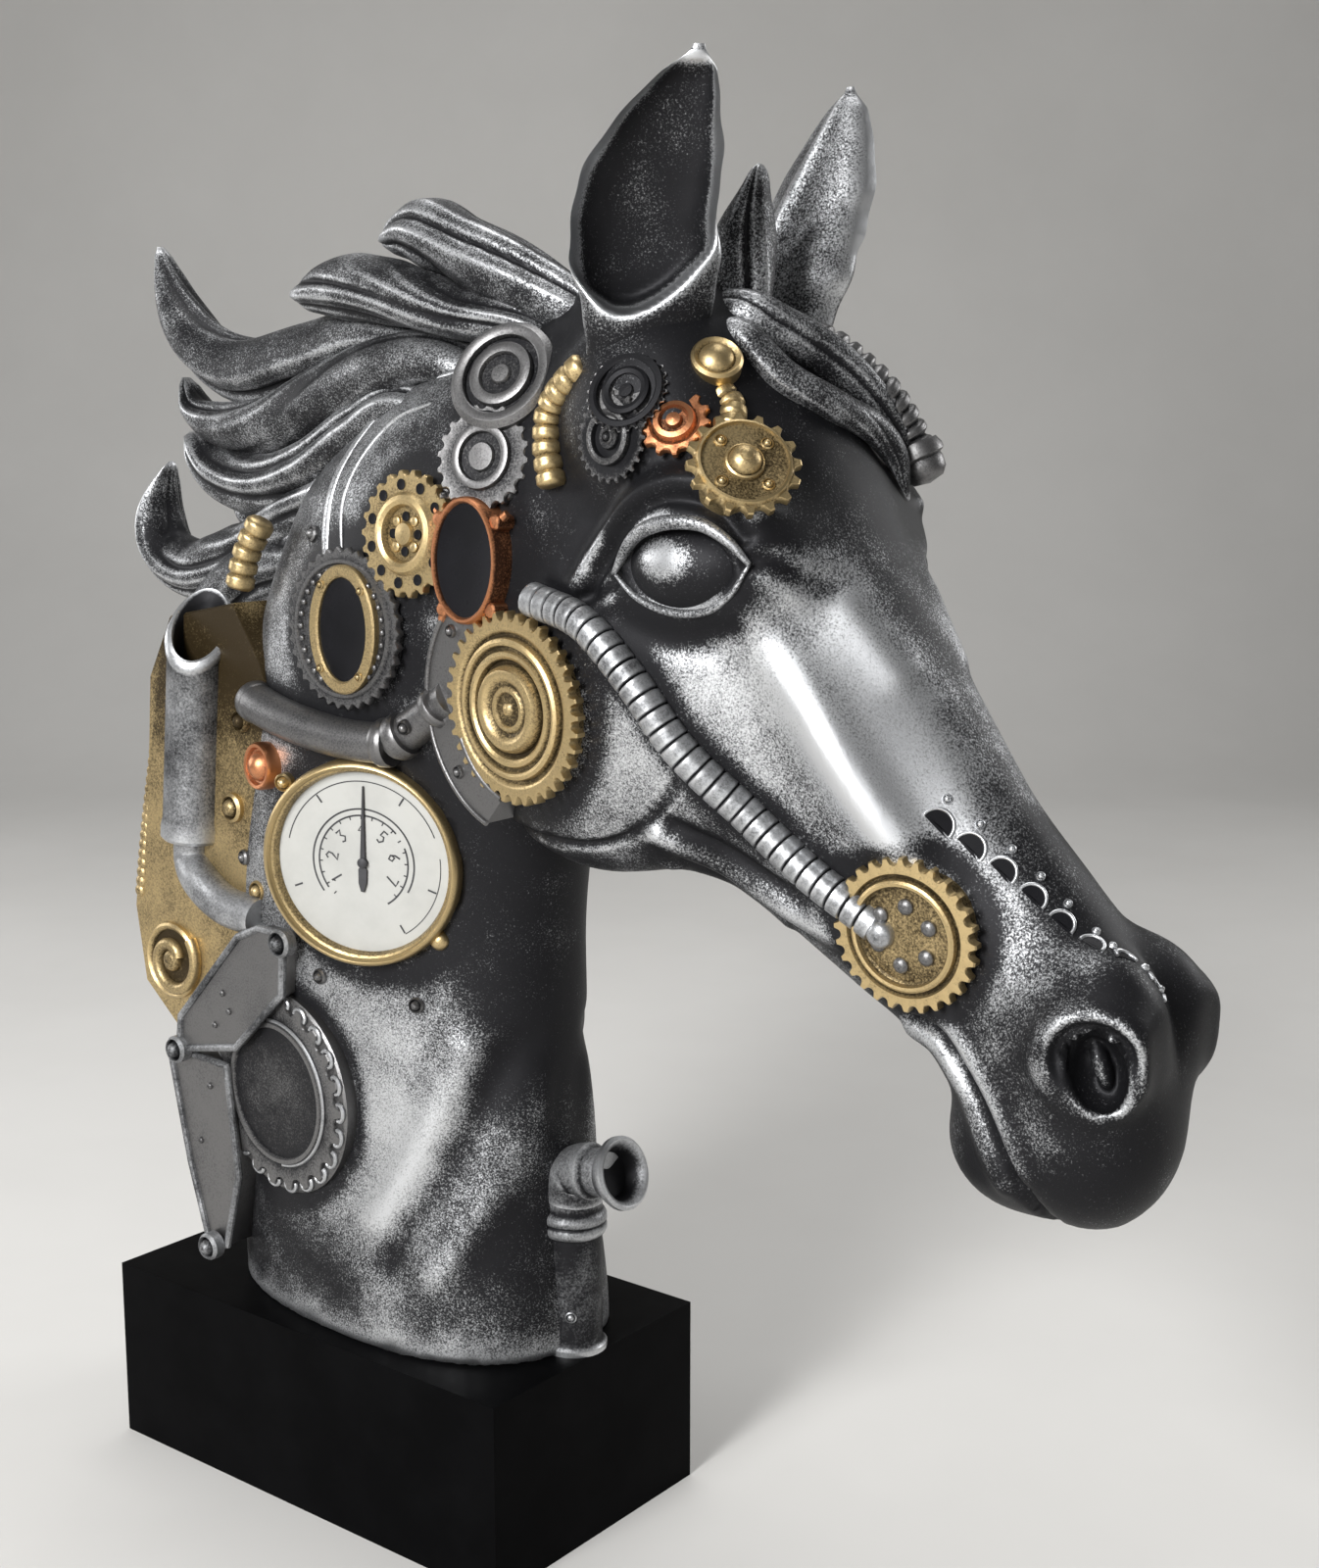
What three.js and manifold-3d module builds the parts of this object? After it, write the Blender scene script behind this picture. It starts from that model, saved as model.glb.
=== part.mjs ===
// A cast horse-head bust dressed with cogs, hoses and pipes, standing on a plain black block.
// Millimetres, +Z up, horse facing +X. The origin is the centre of the block's underside.
import * as THREE from "three";
import { mergeVertices } from "three/addons/utils/BufferGeometryUtils.js";
import Module from "manifold-3d";

const wasm = await Module();
wasm.setup();

// The block under the bust.
const PLINTH_LENGTH = 122;
const PLINTH_WIDTH = 67;
const PLINTH_HEIGHT = 43;

// The horse from its foot on the block to its ear tips.
const HORSE_HEIGHT = 266;

// Grid steps of the free form, and how far a vertex may slide off its surface when faces are saved.
const NECK_PITCH = 9;
const NECK_RISE = 12;
const FACE_PITCH = 7;
const SIDE_PITCH = 6.8;
const CURVE_STEPS = 12;
const THIN_REACH = 0.5;

// The dial and its round case on the neck: the case is sunk into the skin and turned a little forwards.
const DIAL_RADIUS = 19.8;
const DIAL_THICK = 0.9;
const DIAL_CLEARANCE = 0.3;
const DIAL_STEPS = 24;
const BEZEL_WALL = 2.4;
const BEZEL_RISE = 4.6;
const BEZEL_EDGE = 0.8;
const CASE_DEPTH = 9;
const CASE_LIFT = 0.8;
const CASE_TURN = 0.22;
const CASE_PLACE = [19, 151.5];
const CASE_TAB = { wide: 4, tall: 6, deep: 6 };

// Cogs: place on the skin in x and z, radius, number of teeth, tooth height and thickness above the skin.
// On top stand rings of [inner radius, outer radius, height] and a round boss.
const CHEEK_COG = { place: [66.7, 188.6], radius: 19, teeth: 30, tooth: 1.8, rise: 2.6,
  rings: [[12.2, 13.8, 1], [7.2, 9.6, 1.8]], boss: { radius: 3.6, height: 1.2 } };
const NOSE_COG = { place: [148, 154], radius: 14.4, teeth: 26, tooth: 1.3, rise: 2.4, lift: 0.6,
  rings: [[8.8, 10, 0.9]], boss: { radius: 2.6, height: 1.2 } };
const BROW_COG = { place: [116.4, 234.4], radius: 10.4, teeth: 14, tooth: 1.6, rise: 2.2 };
const COPPER_COG = { place: [103.8, 242.3], radius: 6.6, teeth: 13, tooth: 1, rise: 1.8,
  rings: [[2.4, 3.6, 1.2]], boss: { radius: 1.2, height: 0.4 } };
const PIERCED_COG = { place: [36.8, 221], radius: 12.8, teeth: 22, tooth: 1.2, rise: 2.2,
  rings: [[5.6, 7.4, 1.2]], boss: { radius: 2.4, height: 0.6 } };
const DARK_COG = { place: [56.5, 236], radius: 10, teeth: 16, tooth: 1, rise: 2,
  rings: [[4.6, 6, 1.2]], boss: { radius: 2, height: 0.5 } };
const EAR_COG = { place: [57, 250], radius: 10.5, teeth: 0, tooth: 0, rise: 2,
  rings: [[6.4, 8, 1.2]], boss: { radius: 4.4, height: 1.2 } };
const PORT_COG = { place: [18, 201], radius: 17, teeth: 30, tooth: 1.2, rise: 1.8 };
const NECK_WHEEL = { place: [-9, 95], radius: 22.5, teeth: 24, tooth: 2.4, rise: 2.4,
  rings: [[15, 16.5, 0.8]], boss: { radius: 4, height: 0.4 } };
const COG_ROOT = 5;
const COG_SHY = 0.4;
const RING_ROOT = 1;
const RING_SLOPE = 0.5;

// Oval windows: place, half length, half width, frame wall, height of the frame and level of the floor.
const BRONZE_PORT = { place: [19.4, 201], long: 13.4, wide: 9.8, wall: 2.6, rise: 3.6, floor: -0.6 };
const COPPER_PORT = { place: [55, 216.5], long: 12.4, wide: 9.2, wall: 1.7, rise: 3.4, floor: 0.8 };
const PORT_STEPS = 7;
const LUG_RADIUS = 1.9;
const LUG_COUNT = 4;
const LUG_DROP = 0.6;

// The half-moon plate behind the cheek cog: how far it reaches past the teeth, and its two ends.
const CRESCENT = { reach: 6.5, gap: 0.5, shift: 3, start: 2, end: 4.2, drop: 0.6 };

// Round buttons: place, radius, height above the skin.
const BROW_BUTTON = { place: [116.4, 234.4], radius: 5.4, height: 6.4 };
const DOME = { place: [104.5, 254], radius: 4.4, height: 3.2 };
const KNOB = { place: [-11, 169], radius: 5.2, height: 4 };
const BUTTON_ROOT = 3;

// Hoses and coils.
const CHEEK_HOSE_RADIUS = 3.7;
const CHEEK_HOSE_LIFT = 1.4;
const BROW_HOSE_RADIUS = 3.3;
const BROW_HOSE_LIFT = 1.2;
const HOSE_BULB = { place: [122.5, 237], radius: 5, lift: 2 };
const BROW_COIL_RADIUS = 2.5;
const SHORT_COIL_RADIUS = 2.1;
const COIL_LIFT = 0.5;

// Pipes: the one under the round window, the open exhaust at the nape, and the one that stands on the block.
const NECK_PIPE_RADIUS = 4.3;
const NECK_PIPE_LIFT = 2;
const PIPE_COLLAR = 1;
const EXHAUST_RADIUS = 7.2;
const EXHAUST_BORE = 5.6;
const EXHAUST_LENGTH = 57;
const EXHAUST_ELBOW_RADIUS = 4.4;
const FOOT_PIPE_RADIUS = 6.3;
const FOOT_PIPE_HEIGHT = 38;
const FOOT_PIPE_PLACE = 54.4;
const COLLAR_WIDTH = 3;
const COLLAR_DROP = 9;
const FUNNEL_RADIUS = 7.6;
const FUNNEL_BORE = 5.2;
const FUNNEL_DEPTH = 5;
const FUNNEL_WALL = 1.5;
const FUNNEL_TILT = 1.25;

// Plates on the back of the neck, their hinge bolts and the swirl-shaped wheel on them.
const PLATE_THICK = 3;
const PLATE_ROOT = 7;
const BACK_PLATE_THICK = 15;
const HINGE_BOLT_RADIUS = 3;
const HINGE_BOLT_LENGTH = 10;
const SWIRL = { radius: 9, rise: 1.6, hub: 3.4 };

// Ears and nostrils.
const EAR_WALL = 1.6;
const NOSTRIL_RIM = 0.2;

const SILVER = new THREE.MeshStandardMaterial({ color: 0x8a8c90, roughness: 0.4, metalness: 0.8 });
const BLACK = new THREE.MeshStandardMaterial({ color: 0x0b0b0d, roughness: 0.45, metalness: 0 });
const DIAL_WHITE = new THREE.MeshStandardMaterial({ color: 0xdfdfda, roughness: 0.6, metalness: 0 });

// The horse's free form is written in its own figures: FORM_TALL of them make the height above,
// FORM_FOOT is the level of the cut that sits on the block, +x is forward and y the side.
const FORM_TALL = 266;
const FORM_FOOT = 43;
const GROW = HORSE_HEIGHT / FORM_TALL;
const placed = (x, y, z) => new THREE.Vector3(x * GROW, y * GROW, PLINTH_HEIGHT + (z - FORM_FOOT) * GROW);

// A smooth rise or fall through [position, value] stations.
function curve(stations) {
  const n = stations.length;
  const rate = (i) => (stations[i + 1][1] - stations[i][1]) / (stations[i + 1][0] - stations[i][0]);
  const slope = stations.map((_, i) => {
    if (i === 0 || i === n - 1) return 0;
    const [before, after] = [rate(i - 1), rate(i)];
    return before * after <= 0 ? 0 : (2 * before * after) / (before + after);
  });
  return (at) => {
    if (at <= stations[0][0]) return stations[0][1];
    if (at >= stations[n - 1][0]) return stations[n - 1][1];
    let i = 0;
    while (stations[i + 1][0] < at) i += 1;
    const span = stations[i + 1][0] - stations[i][0];
    const t = (at - stations[i][0]) / span;
    const [a, b] = [stations[i][1], stations[i + 1][1]];
    const ends = a * (1 + 2 * t) * (1 - t) ** 2 + b * t * t * (3 - 2 * t);
    return ends + span * t * (1 - t) * (slope[i] * (1 - t) - slope[i + 1] * t);
  };
}

const smoothMin = (a, b, k) => Math.min(a, b) - Math.max(k - Math.abs(a - b), 0) ** 2 / (4 * k);
const smoothMax = (a, b, k) => -smoothMin(-a, -b, k);

// Head frame: s runs down the face from the top of the skull, t rises towards the brow.
const SKULL_TOP = { x: 84, z: 262 };
const HEAD_PITCH = THREE.MathUtils.degToRad(55);
const HEAD_START = -12;
const HEAD_END = 187;
const [COS, SIN] = [Math.cos(HEAD_PITCH), Math.sin(HEAD_PITCH)];
const headS = (x, z) => (x - SKULL_TOP.x) * COS - (z - SKULL_TOP.z) * SIN;
const headT = (x, z) => (x - SKULL_TOP.x) * SIN + (z - SKULL_TOP.z) * COS;

// Profiles of the head along s: brow line, jaw line, half width, and how much the top is wider.
const faceTop = curve([[-12, 6], [8, 16], [40, 18], [65, 15.5], [90, 14], [110, 14], [132, 16.5], [150, 18.5],
  [166, 15], [180, 5], [190, -4]]);
const faceUnder = curve([[-12, -40], [30, -52], [60, -60], [84, -58], [100, -46], [127, -33.5], [147, -26],
  [170, -25], [190, -18]]);
const faceHalf = curve([[-12, 19], [20, 25], [45, 29], [62, 27], [84, 23], [105, 19], [125, 16.5], [140, 15.5],
  [152, 16.5], [168, 16.5], [190, 13]]);
const faceFlare = curve([[-12, -0.1], [20, -0.05], [45, 0.1], [80, 0], [110, -0.08], [150, 0.05], [190, 0]]);

// Profiles of the neck along z: nape, throat, half width, and how much the front is wider.
const neckBack = curve([[43, -43], [90, -47], [130, -46], [165, -38], [200, -29], [225, -18], [243, 2],
  [256, 26], [266, 50]]);
const neckFront = curve([[43, 56], [90, 53], [130, 53], [165, 57], [200, 72], [225, 86], [243, 92],
  [256, 92], [266, 84]]);
const neckHalf = curve([[43, 28.5], [90, 26], [130, 26], [165, 26.5], [200, 28], [225, 27], [243, 22],
  [256, 15], [266, 7]]);
const neckFlare = curve([[43, 0.1], [90, 0], [150, -0.12], [200, 0], [225, 0.1], [266, 0.1]]);
const ROUNDNESS = 2.3;
const NECK_TOP = 268;
const NECK_ROUND = 8;
const MUZZLE_ROUND = 22;

// The box that holds the free form. At throat and jaw its grid changes from the neck's steps to the head's.
const FORM_BOX = { back: -49, throat: 64, front: 195, side: 34, under: FORM_FOOT - 12, jaw: 96, top: 270 };

// A rounded section: a loop between low and high, half wide to each side, and wider by flare towards high.
function section(across, y, low, high, half, flare) {
  const deep = (high - low) / 2;
  const u = (across - (high + low) / 2) / deep;
  const wide = half * (1 + flare * THREE.MathUtils.clamp(u, -1, 1));
  const size = Math.abs(u) ** ROUNDNESS + Math.abs(y / wide) ** ROUNDNESS;
  return (size ** (1 / ROUNDNESS) - 1) * Math.min(deep, wide);
}

function face(x, y, z) {
  const s = headS(x, z);
  const loop = section(headT(x, z), y, faceUnder(s), faceTop(s), faceHalf(s), faceFlare(s));
  return smoothMax(loop, Math.max(s - HEAD_END, HEAD_START - s), MUZZLE_ROUND);
}

function neck(x, y, z) {
  const loop = section(x, y, neckBack(z), neckFront(z), neckHalf(z), neckFlare(z));
  return smoothMax(loop, Math.max(z - NECK_TOP, FORM_BOX.under - z), NECK_ROUND);
}

// Swellings on both sides of the head: centre, radii, pitch in the side view, width of the blend.
const SWELLINGS = [
  { at: [78, 17, 192], radii: [37, 13, 36], pitch: 0, blend: 8 },
  { at: [108, 21, 222], radii: [18, 12, 12], pitch: -0.5, blend: 9 },
  { at: [95, 20, 240], radii: [22, 9, 10], pitch: -0.6, blend: 9 },
  { at: [130, 12, 190], radii: [34, 11, 6], pitch: -0.95, blend: 7 },
  { at: [180.5, 9, 139], radii: [12.5, 9, 14], pitch: -0.3, blend: 6 },
  { at: [177, 0, 119], radii: [15, 15, 17], pitch: 0, blend: 6 },
  { at: [162, 0, 113], radii: [13, 12, 11], pitch: -0.4, blend: 6 },
];

function swelling(x, y, z, { at, radii, pitch }) {
  const [cp, sp] = [Math.cos(pitch), Math.sin(pitch)];
  const [dx, dz] = [x - at[0], z - at[2]];
  const a = (dx * cp + dz * sp) / radii[0];
  const b = (Math.abs(y) - at[1]) / radii[1];
  const g = (dz * cp - dx * sp) / radii[2];
  const far = Math.hypot(a, b, g);
  const steep = Math.hypot(a / radii[0], b / radii[1], g / radii[2]);
  return ((far - 1) * far) / Math.max(steep, 1e-6);
}

// The whole free form: head, neck and swellings run together.
const THROAT_BLEND = 14;

function body(x, y, z) {
  const plain = smoothMin(face(x, y, z), neck(x, y, z), THROAT_BLEND);
  return SWELLINGS.reduce((d, part) => smoothMin(d, swelling(x, y, z, part), part.blend), plain);
}

// The slope of a field at a point.
function slope(field, p) {
  const h = 0.02;
  const f = field(...p);
  return p.map((_, m) => (field(...p.map((v, i) => v + (i === m ? h : 0))) - f) / h);
}

// Grid lines from low to high, close to one pitch apart.
function lines(low, high, pitch) {
  const n = Math.ceil((high - low) / pitch);
  return Array.from({ length: n + 1 }, (_, i) => low + ((high - low) * i) / n);
}

// Moves a point onto the zero level of a field, by no more than a limit at each step.
function settled(field, start, limit) {
  let p = start;
  for (let step = 0; step < 3; step += 1) {
    const g = slope(field, p);
    const steep = Math.max(Math.hypot(...g), 0.2);
    const move = THREE.MathUtils.clamp(field(...p) / steep, -limit, limit) / steep;
    p = p.map((v, m) => v - g[m] * move);
  }
  return p;
}

// A closed mesh on the zero level of a field, with one vertex in each grid cell that the level crosses.
function skin(field, grid) {
  const [xs, ys, zs] = grid;
  const at = (i, j, k) => (k * ys.length + j) * xs.length + i;
  const value = new Float64Array(xs.length * ys.length * zs.length);
  zs.forEach((z, k) => ys.forEach((y, j) => xs.forEach((x, i) => {
    value[at(i, j, k)] = field(x, y, z);
  })));
  const inside = (i, j, k) => value[at(i, j, k)] < 0;
  const points = [];
  const known = new Map();
  const vertex = (i, j, k) => {
    const key = at(i, j, k);
    if (!known.has(key)) {
      known.set(key, points.length);
      points.push(settled(field, crossing(value, at, grid, [i, j, k]), FACE_PITCH / 4));
    }
    return known.get(key);
  };
  const faces = [];
  const quad = (ring, turned) => {
    const [a, b, c, d] = turned ? ring.reverse() : ring;
    faces.push(a, b, c, a, c, d);
  };
  for (let k = 1; k < zs.length - 1; k += 1)
    for (let j = 1; j < ys.length - 1; j += 1)
      for (let i = 1; i < xs.length - 1; i += 1) {
        const here = inside(i, j, k);
        if (here !== inside(i + 1, j, k))
          quad([vertex(i, j - 1, k - 1), vertex(i, j, k - 1), vertex(i, j, k), vertex(i, j - 1, k)], !here);
        if (here !== inside(i, j + 1, k))
          quad([vertex(i - 1, j, k - 1), vertex(i - 1, j, k), vertex(i, j, k), vertex(i, j, k - 1)], !here);
        if (here !== inside(i, j, k + 1))
          quad([vertex(i - 1, j - 1, k), vertex(i, j - 1, k), vertex(i, j, k), vertex(i - 1, j, k)], !here);
      }
  return mesh(points.map((p) => placed(...p)), faces);
}

// The middle of the places where the level crosses the twelve edges of one grid cell.
function crossing(value, at, grid, [i, j, k]) {
  const sum = [0, 0, 0];
  let count = 0;
  for (let c = 0; c < 8; c += 1)
    for (const bit of [1, 2, 4]) {
      if (c & bit) continue;
      const p = [i + (c & 1), j + ((c >> 1) & 1), k + (c >> 2)];
      const q = [p[0] + (bit & 1), p[1] + ((bit >> 1) & 1), p[2] + (bit >> 2)];
      const [fp, fq] = [value[at(...p)], value[at(...q)]];
      if (fp < 0 === fq < 0) continue;
      const t = fp / (fp - fq);
      grid.forEach((line, m) => {
        sum[m] += line[p[m]] + (line[q[m]] - line[p[m]]) * t;
      });
      count += 1;
    }
  return sum.map((v) => v / count);
}

function mesh(points, faces) {
  const made = new THREE.BufferGeometry();
  const numbers = new Float32Array(points.flatMap((p) => p.toArray()));
  made.setAttribute("position", new THREE.BufferAttribute(numbers, 3));
  made.setIndex(faces);
  return made;
}

// A closed mesh as a solid that can be joined and cut.
function solid(geometry) {
  const bare = geometry.clone();
  bare.deleteAttribute("normal");
  bare.deleteAttribute("uv");
  const merged = mergeVertices(bare, 1e-4);
  return new wasm.Manifold(new wasm.Mesh({
    numProp: 3,
    vertProperties: new Float32Array(merged.attributes.position.array),
    triVerts: new Uint32Array(merged.index.array),
  }));
}

// A solid as a geometry with flat faces, without shut-in hollows and with as few faces as it needs.
function geometryOf(piece) {
  const { vertProperties, triVerts } = piece.getMesh();
  const points = [];
  const faces = [];
  for (let i = 0; i < vertProperties.length; i += 3)
    points.push(new THREE.Vector3().fromArray(vertProperties, i));
  for (let i = 0; i < triVerts.length; i += 3)
    faces.push([...triVerts.subarray(i, i + 3)]);
  const flat = mesh(points, thinned(points, filled(points, faces), THIN_REACH).flat()).toNonIndexed();
  flat.computeVertexNormals();
  return flat;
}

// The vertices that share a face with a vertex.
function neighbours(faces, around, u) {
  const near = new Set();
  around[u].forEach((f) => faces[f].forEach((v) => near.add(v)));
  near.delete(u);
  return near;
}

// The plane of a face, and its area.
function facePlane(points, [a, b, c]) {
  const across = new THREE.Vector3().subVectors(points[c], points[a]);
  const normal = new THREE.Vector3().subVectors(points[b], points[a]).cross(across);
  const area = normal.length() / 2;
  if (area > 0) normal.divideScalar(2 * area);
  return { normal, offset: normal.dot(points[a]), area };
}

// True when one vertex can slide onto a neighbour and leave the surface closed, unfolded and within reach.
function canSlide(net, u, v, reach) {
  const { points, faces, around, planes } = net;
  const off = (plane) => Math.abs(plane.normal.dot(points[v]) - plane.offset);
  if (points[u].z < PLINTH_HEIGHT + 0.01 && points[v].z > PLINTH_HEIGHT + 0.01) return false;
  if (planes[u].some((plane) => off(plane) > reach)) return false;
  const nearV = neighbours(faces, around, v);
  if ([...neighbours(faces, around, u)].filter((w) => nearV.has(w)).length !== 2) return false;
  return [...around[u]].every((f) => {
    if (faces[f].includes(v)) return true;
    const before = facePlane(points, faces[f]);
    const after = facePlane(points, faces[f].map((w) => (w === u ? v : w)));
    return after.area > 0.01 && (before.area < 0.01 || before.normal.dot(after.normal) > 0.6);
  });
}

// A mesh with fewer faces: vertices slide onto neighbours while the surface stays within a reach of itself.
function thinned(points, faces, reach) {
  const around = points.map(() => new Set());
  faces.forEach((face, f) => face.forEach((v) => around[v].add(f)));
  const flats = faces.map((face) => facePlane(points, face));
  const planes = around.map((set) => [...set].map((f) => flats[f]).filter((plane) => plane.area > 1e-4));
  const net = { points, faces, around, planes };
  for (const share of [0.1, 0.3, 0.6, 1])
    points.forEach((_, u) => {
      const near = [...neighbours(faces, around, u)];
      near.sort((a, b) => points[a].distanceTo(points[u]) - points[b].distanceTo(points[u]));
      const v = near.find((w) => canSlide(net, u, w, reach * share));
      if (v === undefined) return;
      for (const f of around[u]) {
        if (faces[f].includes(v)) faces[f].forEach((w) => w !== u && around[w].delete(f));
        else around[v].add(f);
        faces[f] = faces[f].includes(v) ? [] : faces[f].map((w) => (w === u ? v : w));
      }
      planes[v] = planes[v].concat(planes[u]);
      around[u].clear();
    });
  return faces.filter((face) => face.length === 3);
}

// Fills the small hollows shut in between joined pieces: only shells that face outwards stay.
function filled(points, faces) {
  const owner = points.map((_, v) => v);
  const root = (v) => {
    let top = v;
    while (owner[top] !== top) top = owner[top];
    owner[v] = top;
    return top;
  };
  faces.forEach(([a, b, c]) => {
    owner[root(b)] = root(a);
    owner[root(c)] = root(a);
  });
  const volume = new Map();
  faces.forEach(([a, b, c]) => {
    const part = points[a].dot(points[b].clone().cross(points[c]));
    volume.set(root(a), (volume.get(root(a)) || 0) + part);
  });
  return faces.filter(([a]) => volume.get(root(a)) > 0);
}

const joined = (pieces) => pieces.reduce((all, piece) => all.add(piece));

// A closed loft through rings of points, with a fan over each end.
function loft(rings) {
  const sides = rings[0].length;
  const points = rings.flat();
  const faces = [];
  for (let r = 0; r < rings.length - 1; r += 1)
    for (let i = 0; i < sides; i += 1) {
      const [a, b] = [r * sides + i, r * sides + ((i + 1) % sides)];
      faces.push(a, b, b + sides, a, b + sides, a + sides);
    }
  const last = (rings.length - 1) * sides;
  for (let i = 1; i < sides - 1; i += 1) {
    faces.push(0, i + 1, i);
    faces.push(last, last + i, last + i + 1);
  }
  return mesh(points, faces);
}

// An ellipse of points about a centre, from one half axis round to the other.
function oval(centre, along, across, sides) {
  return Array.from({ length: sides }, (_, i) => {
    const turn = (2 * Math.PI * i) / sides;
    return centre.clone().addScaledVector(along, Math.cos(turn)).addScaledVector(across, Math.sin(turn));
  });
}

// A round bar of one thickness along a smooth path.
function bar(path, radius, sides = 8, steps = 2 * (path.length - 1)) {
  const round = new THREE.Shape().absarc(0, 0, radius, 0, 2 * Math.PI, false);
  const extrudePath = new THREE.CatmullRomCurve3(path);
  const curveSegments = sides / 2;
  return new THREE.ExtrudeGeometry(round, { steps, extrudePath, curveSegments, bevelEnabled: false });
}

// A turned piece about its own +Z, from [radius, height] pairs that start and end on the axis.
function turned(profile, sides = CURVE_STEPS) {
  return new THREE.LatheGeometry(profile.map(([r, h]) => new THREE.Vector2(r, h)), sides).rotateX(Math.PI / 2);
}

// A flat piece of a drawn outline, from one height to another.
function slab(shape, low, high, curveSegments = CURVE_STEPS) {
  const settings = { depth: high - low, bevelEnabled: false, curveSegments };
  return new THREE.ExtrudeGeometry(shape, settings).translate(0, 0, low);
}

function outline(points) {
  return new THREE.Shape(points.map(([x, y]) => new THREE.Vector2(x, y)));
}

// A frame on the skin at a side-view place: +Z outward, +X level along the skin, +Y up.
function seat(x, z, side = -1, lift = 0, turn = 0) {
  let y = side * 60;
  for (let step = 0; step < 60; step += 1) y -= side * 0.6 * Math.max(body(x, y, z), -1);
  const out = new THREE.Vector3(...slope(body, [x, y, z])).normalize();
  const level = new THREE.Vector3(0, 0, 1).cross(out).normalize();
  const frame = new THREE.Matrix4().makeBasis(level, out.clone().cross(level), out);
  frame.setPosition(placed(x, y, z).addScaledVector(out, lift));
  return frame.multiply(new THREE.Matrix4().makeRotationY(turn));
}

const seatPoint = (x, z, side, lift) => new THREE.Vector3().setFromMatrixPosition(seat(x, z, side, lift));
const set = (geometry, frame) => solid(geometry.clone().applyMatrix4(frame));

// A plain round drum that ties a cog to the skin, from a depth under the skin up to a height.
function drum(radius, low, high, sides = CURVE_STEPS) {
  return turned([[0, low], [radius, low], [radius, high], [0, high]], sides);
}

// Raised rings and a boss about +Z, standing on a level.
function raised(list, boss, level) {
  const steps = list.flatMap(([inner, outer, high]) =>
    [[outer, level + high], [inner, level + high], [inner - RING_SLOPE, level]]);
  const foot = level - RING_ROOT;
  const end = [[boss.radius, level], [boss.radius, level + boss.height], [0, level + boss.height]];
  return turned([[0, foot], [list[0][1], foot], ...steps, ...end]);
}

// A pointed-tooth cog on its drum with its rings, or the drum and rings alone when it has no teeth.
function cog(sizes, side = -1, plain = false) {
  const { place, radius, teeth, tooth, rise, lift = 0 } = sizes;
  const frame = seat(...place, side, lift);
  const parts = [set(drum(radius - tooth - COG_SHY, -COG_ROOT, rise - COG_SHY), frame)];
  if (teeth > 0) {
    const points = Array.from({ length: 2 * teeth }, (_, i) => {
      const r = i % 2 === 0 ? radius : radius - tooth;
      const turn = (Math.PI * i) / teeth;
      return [r * Math.cos(turn), r * Math.sin(turn)];
    });
    parts.push(set(slab(outline(points), COG_SHY, rise), frame));
  }
  const face = teeth > 0 ? rise : rise - COG_SHY;
  if (sizes.rings && !plain) parts.push(set(raised(sizes.rings, sizes.boss, face), frame));
  return joined(parts);
}

// A round-topped button.
function button({ place, radius, height }, lift = 0) {
  const profile = [[0, -BUTTON_ROOT], [radius, -BUTTON_ROOT], [radius, 0.35 * height],
    [0.85 * radius, 0.66 * height], [0.45 * radius, 0.94 * height], [0, height]];
  return set(turned(profile), seat(...place, -1, lift));
}

// The cogs of both cheeks and the nose, and the cogs and buttons that only the right side has.
const RIGHT_COGS = [BROW_COG, COPPER_COG, PIERCED_COG, DARK_COG, EAR_COG, PORT_COG, NECK_WHEEL];

function cogs() {
  return [
    cog(CHEEK_COG, -1),
    cog(CHEEK_COG, 1, true),
    cog(NOSE_COG, -1),
    cog(NOSE_COG, 1, true),
    ...RIGHT_COGS.map((sizes) => cog(sizes)),
    ...[BROW_BUTTON, DOME, KNOB].map((sizes) => button(sizes)),
    set(crescent(), seat(...CHEEK_COG.place)),
  ];
}

// The half-moon plate behind the cheek cog.
function crescent() {
  const { reach, gap, shift, start, end, drop } = CRESCENT;
  const shape = new THREE.Shape();
  shape.absarc(0, 0, CHEEK_COG.radius + reach, start, end, false);
  shape.absarc(shift, 0, CHEEK_COG.radius + gap, end - 0.1, start + 0.1, true);
  return slab(shape, -COG_ROOT, CHEEK_COG.rise - drop, 5);
}

// An oval of a window, smaller all round by a margin.
function portOval(path, { long, wide }, margin, clockwise) {
  return path.absellipse(0, 0, wide - margin, long - margin, 0, 2 * Math.PI, clockwise, 0);
}

// The frame of an oval window, and the hollow that it goes round.
function port(sizes) {
  const shape = portOval(new THREE.Shape(), sizes, 0, false);
  shape.holes.push(portOval(new THREE.Path(), sizes, sizes.wall, true));
  return set(slab(shape, -COG_ROOT, sizes.rise, PORT_STEPS), seat(...sizes.place));
}

function portHollow(sizes) {
  const shape = portOval(new THREE.Shape(), sizes, sizes.wall, false);
  return set(slab(shape, sizes.floor, sizes.rise + 1, PORT_STEPS), seat(...sizes.place));
}

// The four round lugs at the corners of an oval window.
function lugs({ place, long, wide, rise }) {
  return Array.from({ length: LUG_COUNT }, (_, i) => {
    const turn = Math.PI / LUG_COUNT + (2 * Math.PI * i) / LUG_COUNT;
    const [x, y] = [(wide + LUG_RADIUS / 2) * Math.cos(turn), (long + LUG_RADIUS / 2) * Math.sin(turn)];
    return set(drum(LUG_RADIUS, -COG_ROOT, rise - LUG_DROP, 6).translate(x, y, 0), seat(...place));
  });
}

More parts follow.
